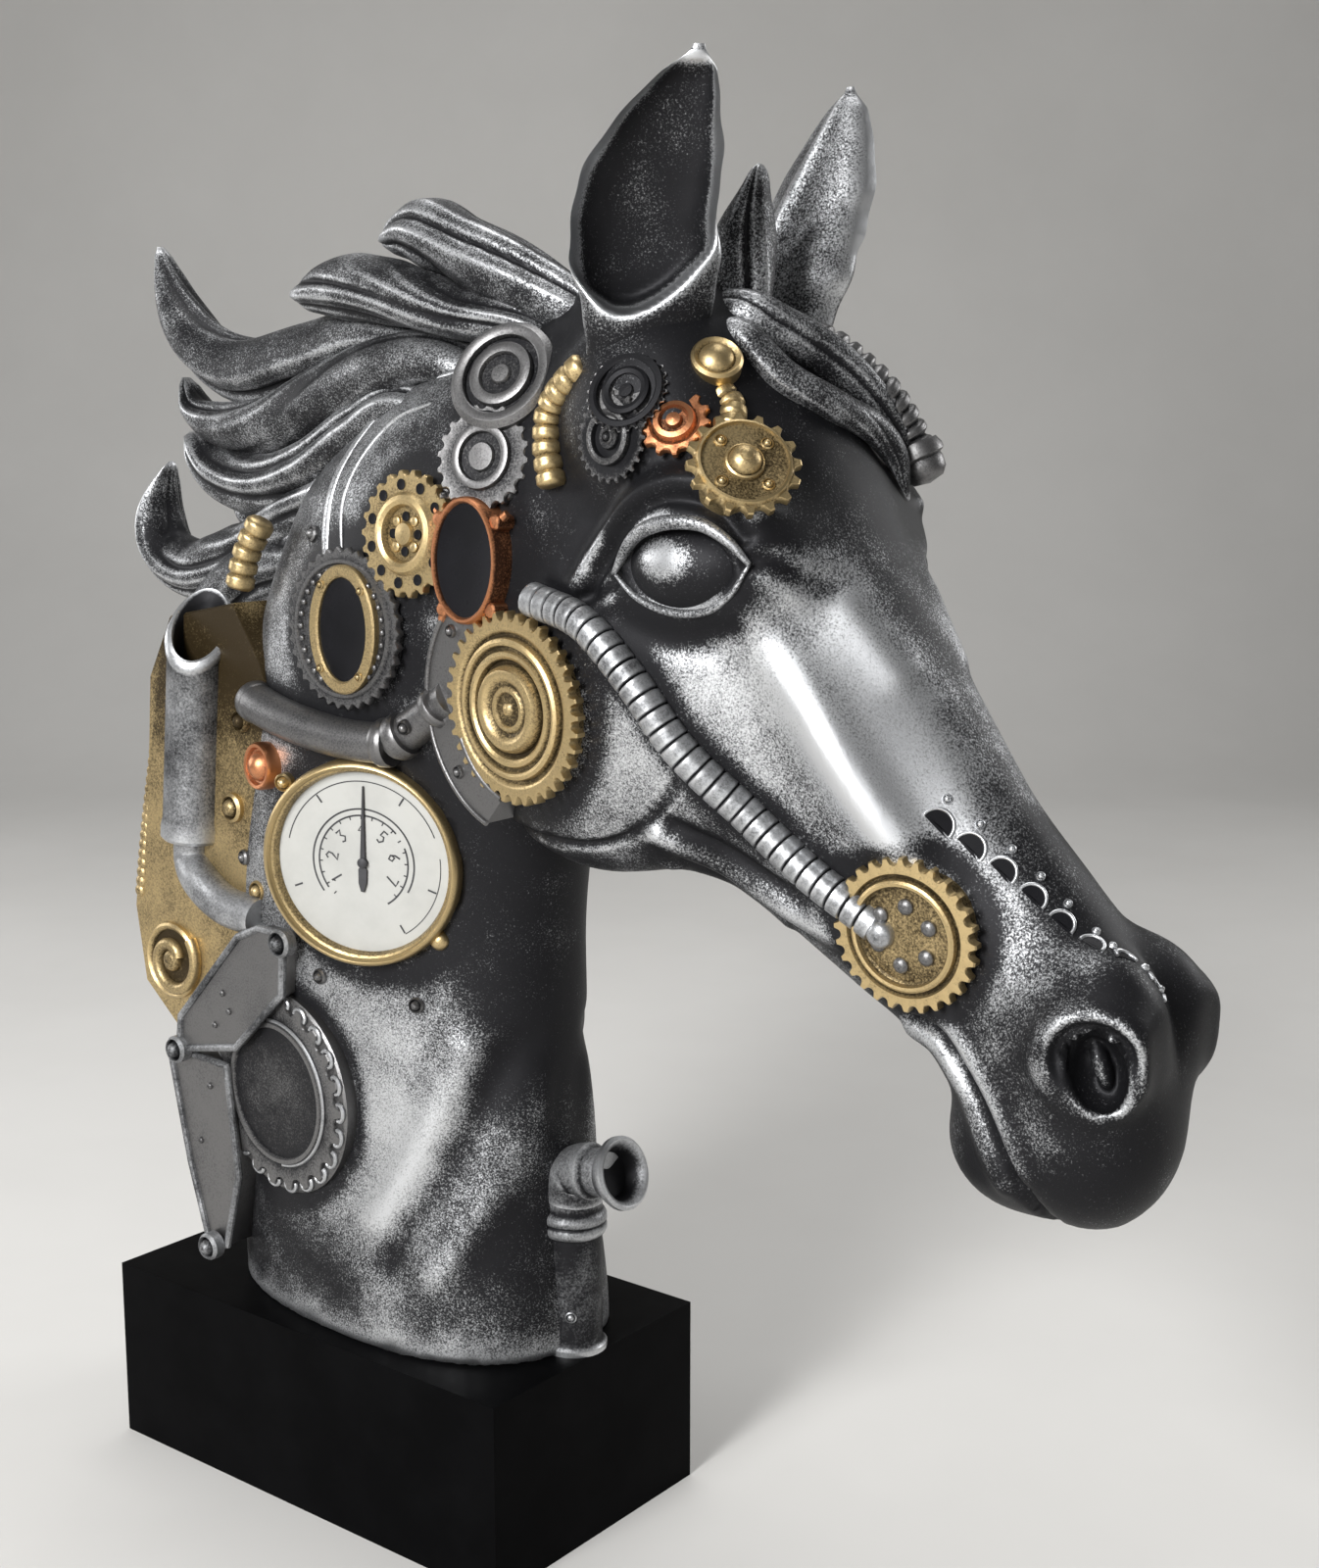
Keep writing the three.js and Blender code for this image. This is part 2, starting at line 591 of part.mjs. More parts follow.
// Hoses and coils that lie on the skin, through places in x and z.
const CHEEK_HOSE = [[71, 210], [85, 206], [96, 196], [105, 184], [115.5, 173.5], [128, 163], [142, 154.5]];
const BROW_COIL = [[82, 253], [74, 246], [73, 239], [75, 231]];
const SHORT_COIL = [[107, 248], [110, 245], [112, 241]];
const BROW_HOSE = [[98, 259], [106, 257.5], [112, 252.5], [117.5, 245.5], [121, 239]];

function hose(places, radius, side, lift) {
  return solid(bar(places.map(([x, z]) => seatPoint(x, z, side, lift)), radius));
}

function hoses() {
  const ball = new THREE.SphereGeometry(HOSE_BULB.radius, 8, 6);
  return [
    hose(CHEEK_HOSE, CHEEK_HOSE_RADIUS, -1, CHEEK_HOSE_LIFT),
    hose(CHEEK_HOSE, CHEEK_HOSE_RADIUS, 1, CHEEK_HOSE_LIFT),
    hose(BROW_COIL, BROW_COIL_RADIUS, -1, COIL_LIFT),
    hose(SHORT_COIL, SHORT_COIL_RADIUS, -1, COIL_LIFT),
    hose(BROW_HOSE, BROW_HOSE_RADIUS, 1, BROW_HOSE_LIFT),
    set(ball, seat(...HOSE_BULB.place, 1, HOSE_BULB.lift)),
  ];
}

// The pipe under the round window, in two straight runs with a collar where they meet.
const NECK_PIPE = [[-14, 183], [2, 180], [17, 178], [29, 178]];
const NECK_PIPE_END = [[29, 178], [38, 184], [47, 189]];
const NECK_COLLAR = [[26.5, 178], [31.5, 179.5]];

function neckPipe() {
  return [
    hose(NECK_PIPE, NECK_PIPE_RADIUS, -1, NECK_PIPE_LIFT),
    hose(NECK_PIPE_END, NECK_PIPE_RADIUS, -1, NECK_PIPE_LIFT / 2),
    hose(NECK_COLLAR, NECK_PIPE_RADIUS + PIPE_COLLAR, -1, NECK_PIPE_LIFT),
  ];
}

// The open pipe at the nape, its slanted mouth and bore, and the elbow under it that turns into the neck.
const EXHAUST_TOP = placed(-33, -24.5, 206);
const EXHAUST_LEAN = new THREE.Vector3(-0.1, 0, -1).normalize();
const EXHAUST_TURN = placed(-28, -26, 135);
const EXHAUST_END = [-15, 134];
const MOUTH_SLANT = new THREE.Euler(-0.75, 0.25, 0);
const downExhaust = (distance) => EXHAUST_TOP.clone().addScaledVector(EXHAUST_LEAN, distance);

function exhaust() {
  const straight = [EXHAUST_TOP, downExhaust(EXHAUST_LENGTH)];
  const elbow = [
    downExhaust(EXHAUST_LENGTH - EXHAUST_ELBOW_RADIUS),
    downExhaust(EXHAUST_LENGTH + EXHAUST_RADIUS),
    EXHAUST_TURN,
    seatPoint(...EXHAUST_END, -1, 0),
  ];
  return [solid(bar(straight, EXHAUST_RADIUS, 12, 1)), solid(bar(elbow, EXHAUST_ELBOW_RADIUS, 8, 6))];
}

function exhaustCuts() {
  const slant = new THREE.BoxGeometry(6 * EXHAUST_RADIUS, 6 * EXHAUST_RADIUS, 2 * EXHAUST_RADIUS);
  slant.translate(0, 0, EXHAUST_RADIUS).applyMatrix4(new THREE.Matrix4().makeRotationFromEuler(MOUTH_SLANT));
  slant.translate(...downExhaust(0.8 * EXHAUST_RADIUS).toArray());
  const bore = [downExhaust(-0.3 * EXHAUST_RADIUS), downExhaust(2.6 * EXHAUST_RADIUS)];
  return [solid(slant), solid(bar(bore, EXHAUST_BORE, 12, 1))];
}

// The pipe that stands on the block in front of the throat, with its collar, elbow and funnel.
function footPipe() {
  const foot = placed(FOOT_PIPE_PLACE, 0, FORM_FOOT);
  const up = foot.clone().setZ(PLINTH_HEIGHT + FOOT_PIPE_HEIGHT);
  const mouth = up.clone().add(new THREE.Vector3(FUNNEL_RADIUS + FUNNEL_DEPTH - 2, 0, 0.7 * FUNNEL_DEPTH));
  const wide = FOOT_PIPE_RADIUS + PIPE_COLLAR;
  const funnel = turned([[0, -1], [FUNNEL_BORE, -1], [FUNNEL_RADIUS, FUNNEL_DEPTH - FUNNEL_WALL],
    [FUNNEL_RADIUS, FUNNEL_DEPTH], [FUNNEL_RADIUS - FUNNEL_WALL, FUNNEL_DEPTH],
    [FUNNEL_BORE - FUNNEL_WALL, FUNNEL_WALL], [0, FUNNEL_WALL / 2]]);
  const collar = drum(wide, -COLLAR_WIDTH / 2, COLLAR_WIDTH / 2).translate(up.x, up.y, up.z - COLLAR_DROP);
  return [
    solid(bar([foot, up], FOOT_PIPE_RADIUS, 12, 1)),
    solid(collar),
    solid(new THREE.SphereGeometry(wide, 12, 8).translate(...up.toArray())),
    solid(bar([up, mouth], FOOT_PIPE_RADIUS - 1, 10, 1)),
    solid(funnel.rotateY(FUNNEL_TILT).translate(mouth.x - 1, mouth.y, mouth.z)),
  ];
}

// The round case of the dial: a cup with a raised rim, in a frame on the side of the neck.
const CASE_RADIUS = DIAL_RADIUS + DIAL_CLEARANCE + BEZEL_WALL;
const CASE_FRAME = seat(...CASE_PLACE, -1, CASE_LIFT, CASE_TURN);

function gaugeCase() {
  const { wide, tall, deep } = CASE_TAB;
  const tab = new THREE.BoxGeometry(wide, tall, deep).translate(0.75 * CASE_RADIUS, -0.72 * CASE_RADIUS, 0);
  const cup = turned([[0, -CASE_DEPTH], [CASE_RADIUS, -CASE_DEPTH], [CASE_RADIUS, BEZEL_RISE - BEZEL_EDGE],
    [CASE_RADIUS - BEZEL_EDGE, BEZEL_RISE], [0, BEZEL_RISE]], DIAL_STEPS);
  return [set(cup, CASE_FRAME), set(tab, CASE_FRAME)];
}

// The room for the dial inside its case, flared towards the mouth and clear of anything in front.
function dialHollow() {
  const inner = DIAL_RADIUS + DIAL_CLEARANCE;
  return set(turned([[0, 0], [inner, 0], [inner, BEZEL_RISE - 2 * BEZEL_EDGE], [inner + 0.6, BEZEL_RISE],
    [CASE_RADIUS - BEZEL_EDGE, BEZEL_RISE + 0.01], [CASE_RADIUS, CASE_DEPTH], [0, CASE_DEPTH]],
  DIAL_STEPS), CASE_FRAME);
}

function dialPlate() {
  const top = DIAL_CLEARANCE + DIAL_THICK;
  const profile = [[0, DIAL_CLEARANCE], [DIAL_RADIUS, DIAL_CLEARANCE], [DIAL_RADIUS, top], [0, top]];
  return turned(profile, DIAL_STEPS).applyMatrix4(CASE_FRAME);
}

// Hinged plates at the back of the neck: outline in x and z, and how far out of the middle they are backed.
const UPPER_PLATE = { back: 27,
  outline: [[-39, 108], [-18, 130], [-11, 133], [-3, 133], [-4, 119], [-20, 104], [-40, 100]] };
const LOWER_PLATE = { back: 25,
  outline: [[-46, 99], [-26, 98], [-23, 72], [-28, 54], [-34, 53], [-40, 72]] };
const BACK_PLATE = { back: 22.2,
  outline: [[-22, 204], [-44, 200], [-52, 186], [-54, 166], [-58, 148], [-61, 130], [-58, 112],
    [-46, 102], [-34, 110], [-22, 128], [-8, 140], [-6, 170], [-14, 192]] };
const HINGE_BOLTS = [[-3, 131], [-40, 100], [-31, 52]];
const BOLT_MIDDLE = 28;
const SWIRL_PLACE = [-47, -25, 119];

// A plate parallel to the side view, from some way under its back to its face.
function sidePlate({ back, outline: drawn }, root) {
  const shape = outline(drawn.map(([x, z]) => [placed(x, 0, z).x, placed(x, 0, z).z]));
  const plate = slab(shape, -root, PLATE_THICK).rotateX(Math.PI / 2);
  return solid(plate.translate(0, -back * GROW, 0));
}

// A round piece that stands out of the right side at a place in x, y and z.
function sideRound(profile, place) {
  return solid(turned(profile).rotateX(Math.PI / 2).translate(...placed(...place).toArray()));
}

function neckPlates() {
  const half = HINGE_BOLT_LENGTH / 2;
  const bolt = [[0, -half], [HINGE_BOLT_RADIUS, -half], [HINGE_BOLT_RADIUS, half], [0, half]];
  const { radius, rise, hub } = SWIRL;
  const swirl = [[0, -COG_ROOT], [radius, -COG_ROOT], [radius, rise], [0.78 * radius, rise],
    [0.73 * radius, 0.4 * rise], [1.2 * hub, 0.4 * rise], [hub, 1.4 * rise], [0, 1.4 * rise]];
  return [
    sidePlate(UPPER_PLATE, PLATE_ROOT),
    sidePlate(LOWER_PLATE, PLATE_ROOT),
    sidePlate(BACK_PLATE, BACK_PLATE_THICK - PLATE_THICK),
    ...HINGE_BOLTS.map(([x, z]) => sideRound(bolt, [x, -BOLT_MIDDLE, z])),
    sideRound(swirl, SWIRL_PLACE),
  ];
}

// An ear: a fat leaf with its cup open forwards and outwards.
const EAR_MIDDLE = [[254, 93, 20], [264, 93.5, 22.5], [280, 96.5, 26], [295, 100, 28.5], [308.6, 102.5, 29.6]];
const earX = curve(EAR_MIDDLE.map(([z, x]) => [z, x]));
const earY = curve(EAR_MIDDLE.map(([z, , y]) => [z, y]));
const earHalf = curve([[254, 8], [262, 9.5], [273, 12.8], [284, 12.6], [296, 8.6], [304, 4.2], [308.6, 0.7]]);
const earDeep = curve([[254, 8], [262, 8.2], [273, 8.6], [284, 7.6], [296, 5.4], [304, 3], [308.6, 0.6]]);
const EAR_LEVELS = [254, 260, 266, 273, 280, 287, 294, 300, 305, 308.6];
const CUP_LEVELS = [266, 271, 277, 284, 291, 298, 304, 306.5];

function earRing(side, z, half, deep, shift, sides) {
  const facing = new THREE.Vector3(0.64, 0.77 * side, 0).normalize();
  const across = new THREE.Vector3(0, 0, 1).cross(facing).multiplyScalar(half * GROW);
  const centre = placed(earX(z), side * earY(z), z).addScaledVector(facing, shift * GROW);
  return oval(centre, across, facing.clone().multiplyScalar(-deep * GROW), sides);
}

function ear(side) {
  const outer = EAR_LEVELS.map((z) => earRing(side, z, earHalf(z), earDeep(z), 0, 12));
  const cup = CUP_LEVELS.map((z, i) => {
    const closing = Math.min(1, 0.55 + 0.35 * i, 0.55 + 0.3 * (CUP_LEVELS.length - 1 - i));
    const half = Math.max(earHalf(z) - EAR_WALL, 0.8) * closing;
    return earRing(side, z, half, earDeep(z) * 1.15, earDeep(z) * 0.62, 10);
  });
  return solid(loft(outer)).subtract(solid(loft(cup)));
}

// Locks of hair: middle line in x, y, z, with half width seen from the side and half thickness.
const LOCKS = [
  { path: [[68, -3, 260], [50, -5, 270], [34, -5, 277], [20, -4, 282], [7, -3, 281]],
    wide: [4, 6, 8, 8, 3], deep: 9 },
  { path: [[58, -6, 260], [34, -8, 265], [14, -7, 270], [-3, -6, 272], [-19, -4, 271]],
    wide: [4, 5, 7, 7, 4], deep: 9 },
  { path: [[34, 0, 256], [4, 1, 262], [-22, 3, 258], [-45, 4, 255], [-61, 4, 260], [-71, 4, 270],
    [-78, 4, 285]], wide: [6, 8, 8.5, 8.5, 7.5, 5.2, 0.8], deep: 9 },
  { path: [[34, -7, 256], [12, -5, 255], [-12, -2, 249], [-32, 0, 243], [-50, 2, 242], [-64, 3, 246],
    [-69, 3, 254]], wide: [6, 7, 7.5, 7.5, 7, 5.5, 1.6], deep: 9 },
  { path: [[22, -9, 250], [2, -5, 241], [-16, -3, 233], [-36, 0, 229], [-54, 2, 232], [-66, 3, 241]],
    wide: [6, 7, 7.5, 7.5, 7, 4], deep: 9 },
  { path: [[-8, -4, 228], [-28, 1, 222], [-48, 4, 213], [-66, 4, 208], [-79, 4, 212], [-82, 4, 222],
    [-77, 4, 234]], wide: [7, 7.5, 7.5, 8, 7, 5, 0.8], deep: 9 },
  { path: [[-20, 0, 214], [-44, 2, 208], [-60, 2, 196], [-66, 1, 182], [-60, 0, 168]],
    wide: [9, 9, 8, 6.5, 1.6], deep: 9 },
  { path: [[62, 8, 258], [36, 12, 268], [14, 13, 272], [-8, 13, 268]], wide: [5, 7, 7, 3], deep: 7 },
  { path: [[36, 10, 252], [2, 14, 250], [-28, 14, 240], [-50, 13, 240], [-62, 12, 250]],
    wide: [7, 9, 9, 7, 2], deep: 8 },
  { path: [[8, 12, 240], [-18, 14, 226], [-44, 13, 218], [-62, 12, 224]], wide: [8, 9, 8, 3], deep: 8 },
  { path: [[-14, 10, 220], [-34, 12, 206], [-48, 12, 190], [-50, 11, 172]], wide: [7, 8, 7, 2], deep: 7 },
  { path: [[92, -1, 256], [99, 0, 268], [99.5, 0, 279], [99, 1, 290]], wide: [7, 5.5, 4, 0.8], deep: 6 },
  { path: [[99, -3, 258], [108, 1, 255], [117, 7, 249], [125, 11, 241], [128.5, 12.5, 229]],
    wide: [4, 6, 6, 5, 0.8], deep: 5 },
];

const LOCK_SIDES = 6;

function lock({ path, wide, deep }) {
  const line = new THREE.CatmullRomCurve3(path.map((p) => placed(...p)));
  const share = curve(wide.map((w, i) => [i / (wide.length - 1), w]));
  const count = Math.round(1.3 * path.length);
  const widest = Math.max(...wide);
  const rows = Array.from({ length: count + 1 }, (_, i) => {
    const half = share(i / count);
    const ahead = line.getTangent(i / count);
    const up = new THREE.Vector3(0, 1, 0).cross(ahead).normalize();
    const out = ahead.clone().cross(up).multiplyScalar(deep * Math.sqrt(half / widest) * GROW);
    return oval(line.getPoint(i / count), up.multiplyScalar(half * GROW), out, LOCK_SIDES);
  });
  return solid(loft(rows));
}

// Eyes: a ball in a socket between two lids.
const EYE = { x: 106, y: 22.4, z: 218.8 };
const EYE_RADII = [12.6, 10.6, 8.6];
const LID_RADIUS = 1.5;
const LID_LIFT = 0.3;
const UPPER_LID = [[91.5, 215.5], [98, 224.6], [106.5, 228], [114, 225.4], [119.4, 217.6]];
const LOWER_LID = [[91.5, 215.5], [98, 211], [106, 209.3], [114, 211.6], [119.4, 217.6]];

function eyeBall(side) {
  const ball = new THREE.SphereGeometry(1, 14, 9).rotateX(Math.PI / 2);
  ball.scale(...EYE_RADII.map((radius) => radius * GROW));
  return solid(ball.translate(...placed(EYE.x, side * EYE.y, EYE.z).toArray()));
}

// How far out the eyeball reaches at a place in x and z.
function eyeReach(x, z) {
  const flat = 1 - ((x - EYE.x) / EYE_RADII[0]) ** 2 - ((z - EYE.z) / EYE_RADII[2]) ** 2;
  return EYE.y + EYE_RADII[1] * Math.sqrt(Math.max(flat, 0));
}

// The lids lie on the outside of head and eyeball together.
function lids(side) {
  return [UPPER_LID, LOWER_LID].map((places) => {
    const path = places.map(([x, z]) => {
      const p = seatPoint(x, z, side, LID_LIFT);
      p.y = side * Math.max(Math.abs(p.y), GROW * eyeReach(x, z) + LID_LIFT);
      return p;
    });
    return solid(bar(path, LID_RADIUS * GROW, 6, 8));
  });
}

// Nostrils and the mouth line: hollows cut into the muzzle, with a raised rim round each nostril.
const NOSTRIL = { place: [184, 138], wide: 6.6, tall: 8, deep: 6.5, tilt: -0.35 };
const MOUTH = [[147, 137.5], [154, 135.5], [159.5, 128.5], [164, 120.5], [169, 111], [173, 103]];
const CHIN = [175.5, 0, 100];
const MOUTH_RADIUS = 1.7;

function nostrilFrame(side) {
  return seat(...NOSTRIL.place, side).multiply(new THREE.Matrix4().makeRotationZ(-side * NOSTRIL.tilt));
}

function nostrilCut(side) {
  const { wide, tall, deep } = NOSTRIL;
  const ball = new THREE.SphereGeometry(1, 10, 8).scale(wide * GROW, tall * GROW, deep * GROW);
  return set(ball, nostrilFrame(side));
}

function nostrilRim(side) {
  const { wide, tall, deep } = NOSTRIL;
  const rim = new THREE.TorusGeometry(1, NOSTRIL_RIM, 5, 12).scale(1.09 * wide, 1.1 * tall, 1.08 * deep);
  return set(rim.translate(0, 0, -0.8).scale(GROW, GROW, GROW), nostrilFrame(side));
}

function mouthCut(side) {
  const path = MOUTH.map(([x, z]) => seatPoint(x, z, side, 0.2));
  path.push(placed(...CHIN));
  return solid(bar(path, MOUTH_RADIUS * GROW, 6, 12));
}

// The free form of head and neck on its grid, which reaches two steps past the box on every side.
function form() {
  const { back, throat, front, side, under, jaw, top } = FORM_BOX;
  const neckX = lines(back - 2 * NECK_PITCH, throat, NECK_PITCH);
  const faceX = lines(throat, front + 2 * FACE_PITCH, FACE_PITCH);
  const neckZ = lines(under - 2 * NECK_RISE, jaw, NECK_RISE);
  const faceZ = lines(jaw, top + 2 * FACE_PITCH, FACE_PITCH);
  const acrossY = lines(-side - 2 * SIDE_PITCH, side + 2 * SIDE_PITCH, SIDE_PITCH);
  return solid(skin(body, [[...neckX, ...faceX.slice(1)], acrossY, [...neckZ, ...faceZ.slice(1)]]));
}

// Everything under the top of the block.
function belowFoot() {
  const [wide, deep] = [4 * HORSE_HEIGHT, HORSE_HEIGHT];
  return solid(new THREE.BoxGeometry(wide, wide, deep).translate(0, 0, PLINTH_HEIGHT - deep / 2));
}

// The whole casting, cut flat where it stands on the block.
function horse() {
  const sides = [-1, 1];
  const muzzle = joined([form(), ...sides.map(nostrilRim)]);
  const carved = sides.flatMap((side) => [nostrilCut(side), mouthCut(side)]);
  const head = carved.reduce((cast, cut) => cast.subtract(cut), muzzle);
  const whole = joined([
    head,
    ...sides.flatMap((side) => [ear(side), eyeBall(side), ...lids(side)]),
    ...LOCKS.map(lock),
    ...cogs(),
    ...hoses(),
    ...neckPipe(),
    ...neckPlates(),
    ...gaugeCase(),
    ...exhaust(),
    ...footPipe(),
    port(BRONZE_PORT),
    port(COPPER_PORT),
    ...lugs(COPPER_PORT),
  ]);
  const ports = [portHollow(BRONZE_PORT), portHollow(COPPER_PORT)];
  const cuts = [dialHollow(), ...ports, ...exhaustCuts(), belowFoot()];
  return cuts.reduce((cast, cut) => cast.subtract(cut), whole);
}

const group = new THREE.Group();

function addPiece(name, geometry, material) {
  const piece = new THREE.Mesh(geometry, material);
  piece.name = name;
  group.add(piece);
  return piece;
}

const block = new THREE.BoxGeometry(PLINTH_LENGTH, PLINTH_WIDTH, PLINTH_HEIGHT);
addPiece("horse_bust", geometryOf(horse()), SILVER);
addPiece("gauge_dial", dialPlate(), DIAL_WHITE);
addPiece("plinth", block, BLACK).position.z = PLINTH_HEIGHT / 2;

export default group;
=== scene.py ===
"""Steampunk horse sculpture: fine surface and painted finish of the cast bust, its dial and its block."""

import math

import bmesh
import bpy
import numpy as np
from mathutils import Matrix, Vector


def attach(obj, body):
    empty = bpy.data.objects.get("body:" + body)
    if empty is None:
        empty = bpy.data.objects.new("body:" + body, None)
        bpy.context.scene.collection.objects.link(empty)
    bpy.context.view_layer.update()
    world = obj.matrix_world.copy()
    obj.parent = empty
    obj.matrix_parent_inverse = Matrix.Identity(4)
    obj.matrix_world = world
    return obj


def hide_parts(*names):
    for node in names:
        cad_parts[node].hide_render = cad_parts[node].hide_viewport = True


bl_info = {
    "name": "Steampunk horse sculpture",
    "version": (1, 0, 0),
    "blender": (4, 5, 0),
    "location": "3D View > Sidebar > Horse",
    "description": "Builds the cast horse bust with its cogs, hoses, dial and block",
    "category": "Object",
}

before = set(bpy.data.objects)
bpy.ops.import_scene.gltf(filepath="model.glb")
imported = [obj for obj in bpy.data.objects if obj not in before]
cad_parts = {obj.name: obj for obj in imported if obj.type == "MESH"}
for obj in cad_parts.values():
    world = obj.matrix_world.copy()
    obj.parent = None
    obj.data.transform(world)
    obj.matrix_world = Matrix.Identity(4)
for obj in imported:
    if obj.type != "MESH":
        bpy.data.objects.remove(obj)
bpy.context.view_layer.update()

MM = 0.001
SEEN = -1
FAR = 1
BOTH = (SEEN, FAR)
FOOT = 43.0


# Curves, blends and the free form. All lengths are millimetres in the part's frame.


def curve(stations):
    """A smooth rise or fall through (position, value) stations."""
    at, value = np.array(stations, float).T
    rate = np.diff(value) / np.diff(at)
    slope = np.zeros(len(at))
    same = rate[:-1] * rate[1:] > 0
    total = np.where(same, rate[:-1] + rate[1:], 1)
    slope[1:-1] = np.where(same, 2 * rate[:-1] * rate[1:] / total, 0)

    def read(x):
        x = np.clip(x, at[0], at[-1])
        i = np.clip(np.searchsorted(at, x, side="right") - 1, 0, len(at) - 2)
        span = at[i + 1] - at[i]
        t = (x - at[i]) / span
        ends = value[i] * (1 + 2 * t) * (1 - t) ** 2 + value[i + 1] * t * t * (3 - 2 * t)
        return ends + span * t * (1 - t) * (slope[i] * (1 - t) - slope[i + 1] * t)

    return read


def smooth_min(a, b, k):
    return np.minimum(a, b) - np.maximum(k - np.abs(a - b), 0) ** 2 / (4 * k)


def smooth_max(a, b, k):
    return -smooth_min(-a, -b, k)


def smooth_step(low, high, x):
    t = np.clip((x - low) / (high - low), 0, 1)
    return t * t * (3 - 2 * t)


SKULL_TOP = (84, 262)
HEAD_PITCH = math.radians(55)
HEAD_START, HEAD_END = -12, 187
NECK_TOP, NECK_ROUND = 268, 8
MUZZLE_ROUND = 22
THROAT_BLEND = 14
ROUNDNESS = 2.3

FACE_TOP = curve([(-12, 6), (8, 16), (40, 18), (65, 15.5), (90, 14), (110, 14), (132, 16.5), (150, 18.5),
                  (166, 15), (180, 5), (190, -4)])
FACE_UNDER = curve([(-12, -40), (30, -52), (60, -60), (84, -58), (100, -46), (127, -33.5), (147, -26),
                    (170, -25), (190, -18)])
FACE_HALF = curve([(-12, 19), (20, 25), (45, 29), (62, 27), (84, 23), (105, 19), (125, 16.5), (140, 15.5),
                   (152, 16.5), (168, 16.5), (190, 13)])
FACE_FLARE = curve([(-12, -0.1), (20, -0.05), (45, 0.1), (80, 0), (110, -0.08), (150, 0.05), (190, 0)])
NECK_BACK = curve([(43, -43), (90, -47), (130, -46), (165, -38), (200, -29), (225, -18), (243, 2), (256, 26),
                   (266, 50)])
NECK_FRONT = curve([(43, 56), (90, 53), (130, 53), (165, 57), (200, 72), (225, 86), (243, 92), (256, 92),
                    (266, 84)])
NECK_HALF = curve([(43, 28.5), (90, 26), (130, 26), (165, 26.5), (200, 28), (225, 27), (243, 22), (256, 15),
                   (266, 7)])
NECK_FLARE = curve([(43, 0.1), (90, 0), (150, -0.12), (200, 0), (225, 0.1), (266, 0.1)])

# Swellings on both sides of the head: centre, radii, pitch in the side view, width of the blend.
SWELLINGS = [
    ((78, 17, 192), (37, 13, 36), 0, 8),
    ((108, 21, 222), (18, 12, 12), -0.5, 9),
    ((95, 20, 240), (22, 9, 10), -0.6, 9),
    ((130, 12, 190), (34, 11, 6), -0.95, 7),
    ((180.5, 9, 139), (12.5, 9, 14), -0.3, 6),
    ((177, 0, 119), (15, 15, 17), 0, 6),
    ((162, 0, 113), (13, 12, 11), -0.4, 6),
]


def section(across, y, low, high, half, flare):
    """A rounded loop between low and high, half wide to each side, and wider by flare towards high."""
    deep = (high - low) / 2
    u = (across - (high + low) / 2) / deep
    wide = half * (1 + flare * np.clip(u, -1, 1))
    size = np.abs(u) ** ROUNDNESS + np.abs(y / wide) ** ROUNDNESS
    return (size ** (1 / ROUNDNESS) - 1) * np.minimum(deep, wide)


def swelling(x, y, z, at, radii, pitch):
    """An egg on each side of the middle plane."""
    cp, sp = math.cos(pitch), math.sin(pitch)
    dx, dz = x - at[0], z - at[2]
    a = (dx * cp + dz * sp) / radii[0]
    b = (np.abs(y) - at[1]) / radii[1]
    g = (dz * cp - dx * sp) / radii[2]
    far = np.sqrt(a * a + b * b + g * g)
    steep = np.sqrt((a / radii[0]) ** 2 + (b / radii[1]) ** 2 + (g / radii[2]) ** 2)
    return (far - 1) * far / np.maximum(steep, 1e-6)


def form(x, y, z):
    """Head, neck and swellings run together: below nought inside."""
    s = (x - SKULL_TOP[0]) * math.cos(HEAD_PITCH) - (z - SKULL_TOP[1]) * math.sin(HEAD_PITCH)
    t = (x - SKULL_TOP[0]) * math.sin(HEAD_PITCH) + (z - SKULL_TOP[1]) * math.cos(HEAD_PITCH)
    face = section(t, y, FACE_UNDER(s), FACE_TOP(s), FACE_HALF(s), FACE_FLARE(s))
    face = smooth_max(face, np.maximum(s - HEAD_END, HEAD_START - s), MUZZLE_ROUND)
    neck = section(x, y, NECK_BACK(z), NECK_FRONT(z), NECK_HALF(z), NECK_FLARE(z))
    neck = smooth_max(neck, np.maximum(z - NECK_TOP, FOOT - 12 - z), NECK_ROUND)
    whole = smooth_min(face, neck, THROAT_BLEND)
    for at, radii, pitch, blend in SWELLINGS:
        whole = smooth_min(whole, swelling(x, y, z, at, radii, pitch), blend)
    return whole


def slope(field, p):
    """The gradient of a field at points."""
    h = 0.02
    here = field(*p.T)
    return np.stack([(field(*(p + h * np.eye(3)[m]).T) - here) / h for m in range(3)], 1)


def unit(v):
    return v / np.maximum(np.linalg.norm(v, axis=-1, keepdims=True), 1e-9)


def on_skin(places, side=SEEN, lift=0.0):
    """Points on the free form at side-view places (x, z), and the normals there."""
    places = np.atleast_2d(np.array(places, float))
    x, z = places.T
    y = np.full(len(x), side * 60.0)
    for _ in range(60):
        y -= side * 0.6 * np.maximum(form(x, y, z), -1)
    p = np.stack([x, y, z], 1)
    n = unit(slope(form, p))
    return p + n * lift, n


def seat(x, z, side=SEEN, lift=0.0, turn=0.0):
    """A 4 x 4 frame on the skin: +Z outward, +X level, +Y up."""
    p, n = on_skin([(x, z)], side, lift)
    made = seat_on(p[0], n[0], 0)
    c, s = math.cos(turn), math.sin(turn)
    spin = np.array([[c, 0, s, 0], [0, 1, 0, 0], [-s, 0, c, 0], [0, 0, 0, 1]])
    return made @ spin


